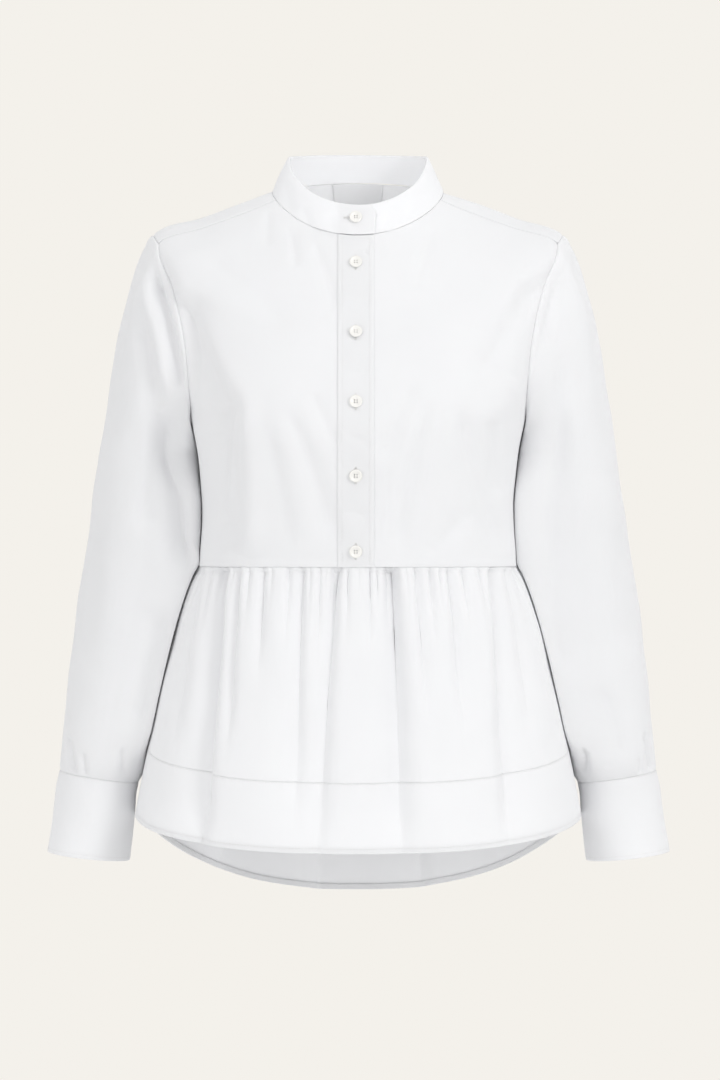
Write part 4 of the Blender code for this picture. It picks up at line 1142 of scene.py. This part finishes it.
def band_seam(is_back, place):
    """The share of the way down at which the hem band is sewn on."""
    ends = peplum_point(is_back, place, np.ones_like(place))
    return 1 - HEM_BAND_DEPTH / (WAIST_Z - ends[..., 2])


def peplum_grid(is_back, columns):
    place = np.linspace(0, 1, columns)
    last = band_seam(is_back, place)
    length = WAIST_Z - SIDE_HEM_Z - HEM_BAND_DEPTH
    shares = spaced(length, PEPLUM_ROWS) / length
    return np.array([peplum_point(is_back, place, last * share) for share in shares])


def hem_band_grid(is_back):
    place = np.linspace(0, 1, HEM_BAND_COLUMNS)
    last = band_seam(is_back, place)
    shares = spaced(HEM_BAND_DEPTH, HEM_BAND_ROWS) / HEM_BAND_DEPTH
    return np.array([peplum_point(is_back, place, last + (1 - last) * share) for share in shares])


def build_peplum(side, look):
    is_back = side == "back"
    grid = peplum_grid(is_back, PEPLUM_COLUMNS[side])
    left, right, top, bottom = edge_distances(grid)
    uneven = unevenness(grid) * smooth(np.minimum(left, right) / SIDE_HOLD) * held(top)
    relief = seam(top, left, 0.0) + seam(bottom, left, 0.0) + uneven
    peplum = cloth_piece("peplum_" + side, lifted(grid, grid_facing(grid), relief), CLOTH, look)
    band = hem_band_grid(is_back)
    left, right, top, bottom = edge_distances(band)
    relief = seam(top, left, HEM_BAND_RISE) + rolled_edge(bottom)
    relief += TURNING_PUCKER * pucker(np.abs(bottom - HEM_STITCHES_UP), left)
    relief += unevenness(band) * smooth(np.minimum(left, right) / SIDE_HOLD)
    band = lifted(band, grid_facing(band), relief)
    hem_band = cloth_piece("hem_band_" + side, band, CLOTH, look)
    fold_rows = int(np.argmax(np.mean(bottom, axis=1) <= HEM_FOLD_DEPTH))
    fold = band[fold_rows:]
    fold = fold - grid_facing(fold) * (CLOTH + SEAM_GAP)
    hem_fold = cloth_piece("hem_fold_" + side, fold, CLOTH, look)
    return peplum, hem_band, hem_fold, band


# Stitches, buttons and buttonholes


def plain_mesh(name, points, faces, look=None):
    mesh = bpy.data.meshes.new(name)
    mesh.from_pydata(points, [], faces)
    if look:
        mesh.materials.append(look)
    return mesh


def circle(radius, height, sides):
    turns = np.linspace(0, 2 * math.pi, sides, endpoint=False)
    return [(radius * math.cos(turn), radius * math.sin(turn), height) for turn in turns]


def stitch_mesh(name, stitches, radius, look):
    """Many small stitches as one mesh: each is a slim bead from its start to its end."""
    points = []
    faces = []
    for start, end, facing in stitches:
        along = (end - start) / np.linalg.norm(end - start)
        aside = np.cross(facing, along)
        middle = (start + end) / 2
        base = len(points)
        points += [start, middle + aside * radius, middle + facing * radius]
        points += [middle - aside * radius, middle - facing * radius, end]
        for k in range(4):
            following = 1 + (k + 1) % 4
            faces.append((base, base + following, base + 1 + k))
            faces.append((base + 5, base + 1 + k, base + following))
    mesh = plain_mesh(name, [tuple(point) for point in points], faces, look)
    mesh.shade_smooth()
    made = in_scene(name, mesh)
    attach(made, "root")
    return made


def stitches_along(line, facing, lift):
    """Stitches one behind the other along a line of cloth."""
    along = lengths_along(line)
    starts = np.arange(STITCH_PITCH, along[-1] - STITCH_PITCH, STITCH_PITCH)
    begin = points_at(line, along, starts)
    end = points_at(line, along, starts + STITCH_LENGTH)
    out = unit(points_at(facing, along, starts + STITCH_LENGTH / 2))
    return list(zip(begin + out * lift, end + out * lift, out))


def column_stitches(grid, column, lift):
    return stitches_along(grid[:, column], grid_facing(grid)[:, column], lift)


def row_stitches(grid, row, lift):
    return stitches_along(grid[row], grid_facing(grid)[row], lift)


def buttonhole_stitches(spot, facing, along):
    """A ring of short stitches side by side round a slit."""
    aside = np.cross(facing, along)
    straight = BUTTONHOLE_LENGTH - BUTTONHOLE_WIDTH
    first = (BUTTONHOLE_WIDTH - SATIN_STITCH_LENGTH) / 2
    stitches = []
    for side in (-1, 1):
        for step in np.arange(-straight / 2, straight / 2, SATIN_STITCH_PITCH):
            inner = spot + along * step + aside * side * first
            outer = inner + aside * side * SATIN_STITCH_LENGTH
            stitches.append((inner, outer, facing))
    for end in (-1, 1):
        middle = spot + along * end * straight / 2
        for turn in np.linspace(-math.pi / 2, math.pi / 2, SATIN_END_STITCHES):
            way = along * end * math.cos(turn) + aside * math.sin(turn)
            outer = middle + way * SATIN_STITCH_LENGTH
            stitches.append((middle + way * SATIN_END_START, outer, facing))
    return stitches


def turned_button(look):
    """A round button with a raised rim, a dished middle and four holes."""
    rim_inner = BUTTON_RADIUS - 2 * BUTTON_RIM
    outline = (
        (0.0, BUTTON_HEIGHT - BUTTON_DISH),
        (rim_inner * 0.7, BUTTON_HEIGHT - BUTTON_DISH),
        (rim_inner, BUTTON_HEIGHT - 0.85 * BUTTON_DISH),
        (rim_inner + 0.35 * BUTTON_RIM, BUTTON_HEIGHT - 0.45 * BUTTON_DISH),
        (rim_inner + 0.75 * BUTTON_RIM, BUTTON_HEIGHT - 0.08 * BUTTON_DISH),
        (BUTTON_RADIUS - 0.80 * BUTTON_RIM, BUTTON_HEIGHT),
        (BUTTON_RADIUS - 0.40 * BUTTON_RIM, BUTTON_HEIGHT - 0.02 * BUTTON_DISH),
        (BUTTON_RADIUS - 0.12 * BUTTON_RIM, BUTTON_HEIGHT - 0.25 * BUTTON_DISH),
        (BUTTON_RADIUS, 0.55 * BUTTON_HEIGHT),
        (BUTTON_RADIUS - 0.25 * BUTTON_RIM, 0.20 * BUTTON_HEIGHT),
        (BUTTON_RADIUS - 0.70 * BUTTON_RIM, 0.0),
        (0.0, 0.0),
    )
    points = [(0.0, 0.0, outline[0][1])]
    for radius, height in outline[1:-1]:
        points += circle(radius, height, BUTTON_SIDES)
    points.append((0.0, 0.0, 0.0))
    last = len(points) - 1
    faces = []
    for k in range(BUTTON_SIDES):
        after = (k + 1) % BUTTON_SIDES
        faces.append((0, 1 + k, 1 + after))
        for ring in range(len(outline) - 3):
            here = 1 + ring * BUTTON_SIDES
            below = here + BUTTON_SIDES
            faces.append((here + k, below + k, below + after, here + after))
        base = last - BUTTON_SIDES
        faces.append((last, base + after, base + k))
    shape = in_scene("button", plain_mesh("button", points, faces, look))
    cutters = []
    for across in (-1, 1):
        for up in (-1, 1):
            cutter = hole_cutter(across * BUTTON_HOLE_OFFSET, up * BUTTON_HOLE_OFFSET)
            cut = shape.modifiers.new("Hole", "BOOLEAN")
            cut.operation = "DIFFERENCE"
            cut.solver = "EXACT"
            cut.object = cutter
            cutters.append(cutter)
    bpy.context.view_layer.update()
    graph = bpy.context.evaluated_depsgraph_get()
    holed = bpy.data.meshes.new_from_object(shape.evaluated_get(graph))
    for helper in [shape, *cutters]:
        bpy.data.objects.remove(helper, do_unlink=True)
    holed.shade_smooth()
    holed.set_sharp_from_angle(angle=math.radians(BUTTON_SHARP_ANGLE))
    return holed


def hole_cutter(x, y):
    sides = BUTTON_HOLE_SIDES
    points = []
    for end in (-BUTTON_HEIGHT, 2 * BUTTON_HEIGHT):
        ring = circle(BUTTON_HOLE_RADIUS, end, sides)
        points += [(x + point[0], y + point[1], end) for point in ring]
    faces = [tuple(range(sides))[::-1], tuple(range(sides, 2 * sides))]
    for k in range(sides):
        after = (k + 1) % sides
        faces.append((k, after, sides + after, sides + k))
    return in_scene("hole", plain_mesh("hole", points, faces))


def seat(surface, level, across, lift):
    """The spot a given distance outside a surface, and the way the surface faces there."""
    step = SEAT_STEP
    down = surface(level + step, across) - surface(level - step, across)
    aside = surface(level, across + step) - surface(level, across - step)
    facing = unit(np.cross(down, aside))
    return surface(level, across) + facing * lift, facing


def placket_surface(level, x):
    return body_point(np.array(level), angle_at_x(BODY, level, x))


def collar_surface(level, x):
    """The collar by the share of its height from the top, so that it runs down as the body does."""
    row = (1 - level) * (len(COLLAR) - 1)
    return ring_point(COLLAR, np.array(row), angle_at_x(COLLAR, row, x))


def cuff_surface(level, turn):
    return arm_point(CUFF, np.array(level), turn)


def level_at_height(surface, x, z, lowest):
    """The level at which a surface passes a given height on its front."""
    levels = np.linspace(0, lowest, HEIGHT_STEPS)
    heights = np.array([surface(level, x)[2] for level in levels])
    return float(np.interp(-z, -heights, levels))


def place_button(name, mesh, spot, facing, up, thread_look):
    """A button on its seat, sewn with two threads, in place of its CAD node."""
    across = unit(np.cross(up, facing))
    turn = np.array([across, np.cross(facing, across), facing]).T
    placed = mesh.copy()
    placed.transform(Matrix.Translation(spot) @ Matrix(turn.tolist()).to_4x4())
    button = in_scene(name + "_shown", placed)
    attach(button, "root")
    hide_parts(name)
    floor = BUTTON_HEIGHT - BUTTON_DISH
    threads = []
    for side in (-1, 1):
        for strand in THREAD_STRANDS:
            x = side * BUTTON_HOLE_OFFSET + strand * THREAD_RADIUS
            ends = [turn @ np.array([x, y * BUTTON_HOLE_OFFSET, floor]) + spot for y in (-1, 1)]
            threads.append((*ends, facing))
    stitch_mesh(name + "_thread", threads, THREAD_RADIUS, thread_look)


def build_buttons(button_look, thread_look):
    mesh = turned_button(button_look)
    holes = []
    upward = np.array([0.0, 0.0, 1.0])
    sideways = np.array([1.0, 0.0, 0.0])
    level = level_at_height(collar_surface, BUTTON_X, COLLAR_BUTTON_Z, 1.0)
    spot, facing = seat(collar_surface, level, BUTTON_X, 1.5 * COLLAR_CLOTH + 2 * SEAM_GAP)
    place_button("button_1", mesh, spot, facing, upward, thread_look)
    holes += buttonhole_stitches(spot - sideways * COLLAR_BUTTONHOLE_ASIDE, facing, sideways)
    lap = CLOTH / 2 + BAND_CLOTH + 2 * SEAM_GAP
    for number, height in enumerate(PLACKET_BUTTON_LEVELS, start=2):
        level = level_at_height(placket_surface, BUTTON_X, height, WAIST)
        spot, facing = seat(placket_surface, level, BUTTON_X, lap)
        place_button(f"button_{number}", mesh, spot, facing, upward, thread_look)
        holes += buttonhole_stitches(spot, facing, unit(np.cross(facing, sideways)))
    turn = math.radians(CUFF_LAP_AT + CUFF_LAP / 2)
    spot, facing = seat(cuff_surface, CUFF_BUTTON_DROP, turn, 1.5 * BAND_CLOTH + 2 * SEAM_GAP)
    for name, flip in (("cuff_button_left", 1.0), ("cuff_button_right", -1.0)):
        side = np.array([flip, 1.0, 1.0])
        place_button(name, mesh, spot * side, facing * side, upward, thread_look)
        along = unit(np.cross(upward, facing * side))
        holes += buttonhole_stitches(spot * side, facing * side, along)
    stitch_mesh("buttonholes", holes, SATIN_STITCH_PITCH / 2, thread_look)


# Materials


def new_look(name, settings):
    """A material with these values on its shader."""
    made = bpy.data.materials.new(name)
    made.use_nodes = True
    shader = made.node_tree.nodes["Principled BSDF"]
    for setting, value in settings.items():
        shader.inputs[setting].default_value = value
    return made, shader


def add(look, kind, settings, feeds, **options):
    """A node of a material, with values set on its inputs and outputs led into others."""
    node = look.node_tree.nodes.new(kind)
    for option, value in options.items():
        setattr(node, option, value)
    for place, value in settings.items():
        node.inputs[place].default_value = value
    for place, output in feeds.items():
        look.node_tree.links.new(output, node.inputs[place])
    return node


def noise(look, place, settings):
    feeds = {"Vector": place.outputs["Object"]}
    return add(look, "ShaderNodeTexNoise", settings, feeds).outputs["Fac"]


def tint(look, shader, share, bright, shade):
    """Lets the colour of a material drift between two tones."""
    mix = add(look, "ShaderNodeMix", {6: bright, 7: shade}, {0: share}, data_type="RGBA")
    look.node_tree.links.new(mix.outputs[2], shader.inputs["Base Color"])


def cotton_look():
    """White poplin: a fine plain weave, slight slubs and unevenness, and a soft sheen."""
    look, shader = new_look("White cotton", COTTON_SHADER)
    place = add(look, "ShaderNodeTexCoord", {}, {})
    split = add(look, "ShaderNodeSeparateXYZ", {}, {"Vector": place.outputs["UV"]})
    threads = {}
    for number, (axis, pitch) in enumerate(WEAVE_PITCHES.items()):
        feeds = {0: split.outputs[axis]}
        turns = add(look, "ShaderNodeMath", {1: 2 * math.pi / pitch}, feeds, operation="MULTIPLY")
        wave = add(look, "ShaderNodeMath", {}, {0: turns.outputs[0]}, operation="SINE")
        threads[number] = wave.outputs[0]
    weave = add(look, "ShaderNodeMath", {}, threads, operation="MULTIPLY").outputs[0]
    slubs = noise(look, place, SLUB_NOISE)
    tint(look, shader, noise(look, place, CLOUD_NOISE), COTTON, COTTON_SHADE)
    gloss = add(look, "ShaderNodeMapRange", COTTON_ROUGHNESS, {"Value": slubs})
    look.node_tree.links.new(gloss.outputs["Result"], shader.inputs["Roughness"])
    feeds = {"Height": noise(look, place, RUMPLE_NOISE)}
    normal = add(look, "ShaderNodeBump", RUMPLE_BUMP, feeds).outputs["Normal"]
    for height, settings in ((slubs, SLUB_BUMP), (weave, WEAVE_BUMP)):
        feeds = {"Height": height, "Normal": normal}
        normal = add(look, "ShaderNodeBump", settings, feeds).outputs["Normal"]
    look.node_tree.links.new(normal, shader.inputs["Normal"])
    return look


def clouded_look(name, settings, cloud_noise, bright, shade):
    """A surface whose colour drifts slightly between a bright tone and a share of it."""
    look, shader = new_look(name, settings)
    place = add(look, "ShaderNodeTexCoord", {}, {})
    dark = tuple(shade * part for part in bright[:3]) + (1.0,)
    tint(look, shader, noise(look, place, cloud_noise), bright, dark)
    return look


# Studio


def build_surround():
    """A flat pale floor that curves up into a round wall, lit evenly in its own tone."""
    flat = SURROUND_RADIUS - SURROUND_CURVE
    profile = [(0.0, FLOOR_Z), (flat, FLOOR_Z)]
    for turn in np.linspace(0, math.pi / 2, SURROUND_CURVE_STEPS)[1:]:
        reach = flat + SURROUND_CURVE * math.sin(turn)
        profile.append((reach, FLOOR_Z + SURROUND_CURVE * (1 - math.cos(turn))))
    profile.append((SURROUND_RADIUS, SURROUND_HEIGHT))
    turns = np.linspace(0, 2 * math.pi, SURROUND_SIDES, endpoint=False)
    points = []
    for reach, height in profile:
        points += [(reach * math.sin(turn), reach * math.cos(turn), height) for turn in turns]
    faces = []
    for ring in range(len(profile) - 1):
        for side in range(SURROUND_SIDES):
            after = (side + 1) % SURROUND_SIDES
            here = ring * SURROUND_SIDES
            above = here + SURROUND_SIDES
            faces.append((here + side, here + after, above + after, above + side))
    look, _ = new_look("Backdrop", BACKDROP_SHADER)
    mesh = plain_mesh("floor", points, faces, look)
    mesh.shade_smooth()
    floor = in_scene("floor", mesh)
    floor.visible_diffuse = False
    floor.visible_glossy = False
    floor.visible_shadow = False


def build_studio():
    build_surround()
    world = bpy.data.worlds.new("Studio")
    world.use_nodes = True
    background = world.node_tree.nodes["Background"]
    background.inputs["Color"].default_value = (1.0, 1.0, 1.0, 1.0)
    background.inputs["Strength"].default_value = WORLD_LIGHT
    bpy.context.scene.world = world
    for lamp in LAMPS:
        light = bpy.data.lights.new(lamp.name, "AREA")
        light.size = lamp.size
        light.energy = lamp.power
        made = in_scene(lamp.name, light)
        made.location = lamp.spot
        way = Vector(lamp.aim) - Vector(lamp.spot)
        made.rotation_euler = way.to_track_quat("-Z", "Y").to_euler()
    camera = bpy.data.cameras.new("Camera")
    camera.lens = CAMERA_LENS
    camera.sensor_width = CAMERA_SENSOR
    eye = in_scene("Camera", camera)
    eye.location = CAMERA_AT
    eye.rotation_euler = (math.pi / 2, 0, 0)
    bpy.context.scene.camera = eye
    bpy.context.scene.view_settings.view_transform = "Standard"


def main():
    build_studio()
    cotton = cotton_look()
    thread = clouded_look("Thread", THREAD_SHADER, THREAD_NOISE, THREAD_WHITE, THREAD_SHADE)
    resin = clouded_look("Button", BUTTON_SHADER, BUTTON_NOISE, BUTTON_WHITE, BUTTON_SHADE)

    placket, placket_grid = build_placket(cotton)
    shown = {
        "front_left": build_front("front_left", UNDERLAP_X + SEAM_GAP, cotton, False),
        "front_right": build_front("front_right", -UNDERLAP_X + SEAM_GAP, cotton, True),
        "placket": placket,
        "yoke": build_yoke(cotton),
        "back": build_back(cotton),
        "collar": build_collar(cotton),
        "neck_patch": build_patch(cotton),
        "sleeve_left": build_sleeve("sleeve_left", cotton, False),
        "sleeve_right": build_sleeve("sleeve_right", cotton, True),
    }
    cuff_lines = []
    for name in ("cuff_left", "cuff_right"):
        shown[name], grid = build_cuff(name, cotton, name == "cuff_right")
        for row in CUFF_STITCH_ROWS:
            cuff_lines += row_stitches(grid, row, BAND_CLOTH / 2 + STITCH_LIFT)
    hem_lines = []
    for side in ("front", "back"):
        peplum, hem_band, hem_fold, band = build_peplum(side, cotton)
        shown["peplum_" + side] = peplum
        shown["hem_band_" + side] = hem_band
        for row in HEM_STITCH_ROWS:
            hem_lines += row_stitches(band, row, CLOTH / 2 + STITCH_LIFT)
    for name, piece in shown.items():
        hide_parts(name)

    placket_lines = []
    for column in PLACKET_STITCH_COLUMNS:
        placket_lines += column_stitches(placket_grid, column, BAND_CLOTH / 2 + STITCH_LIFT)
    stitch_mesh("hem_stitches", hem_lines, STITCH_RADIUS, thread)
    stitch_mesh("cuff_stitches", cuff_lines, STITCH_RADIUS, thread)
    stitch_mesh("placket_stitches", placket_lines, STITCH_RADIUS, thread)
    build_buttons(resin, thread)


main()
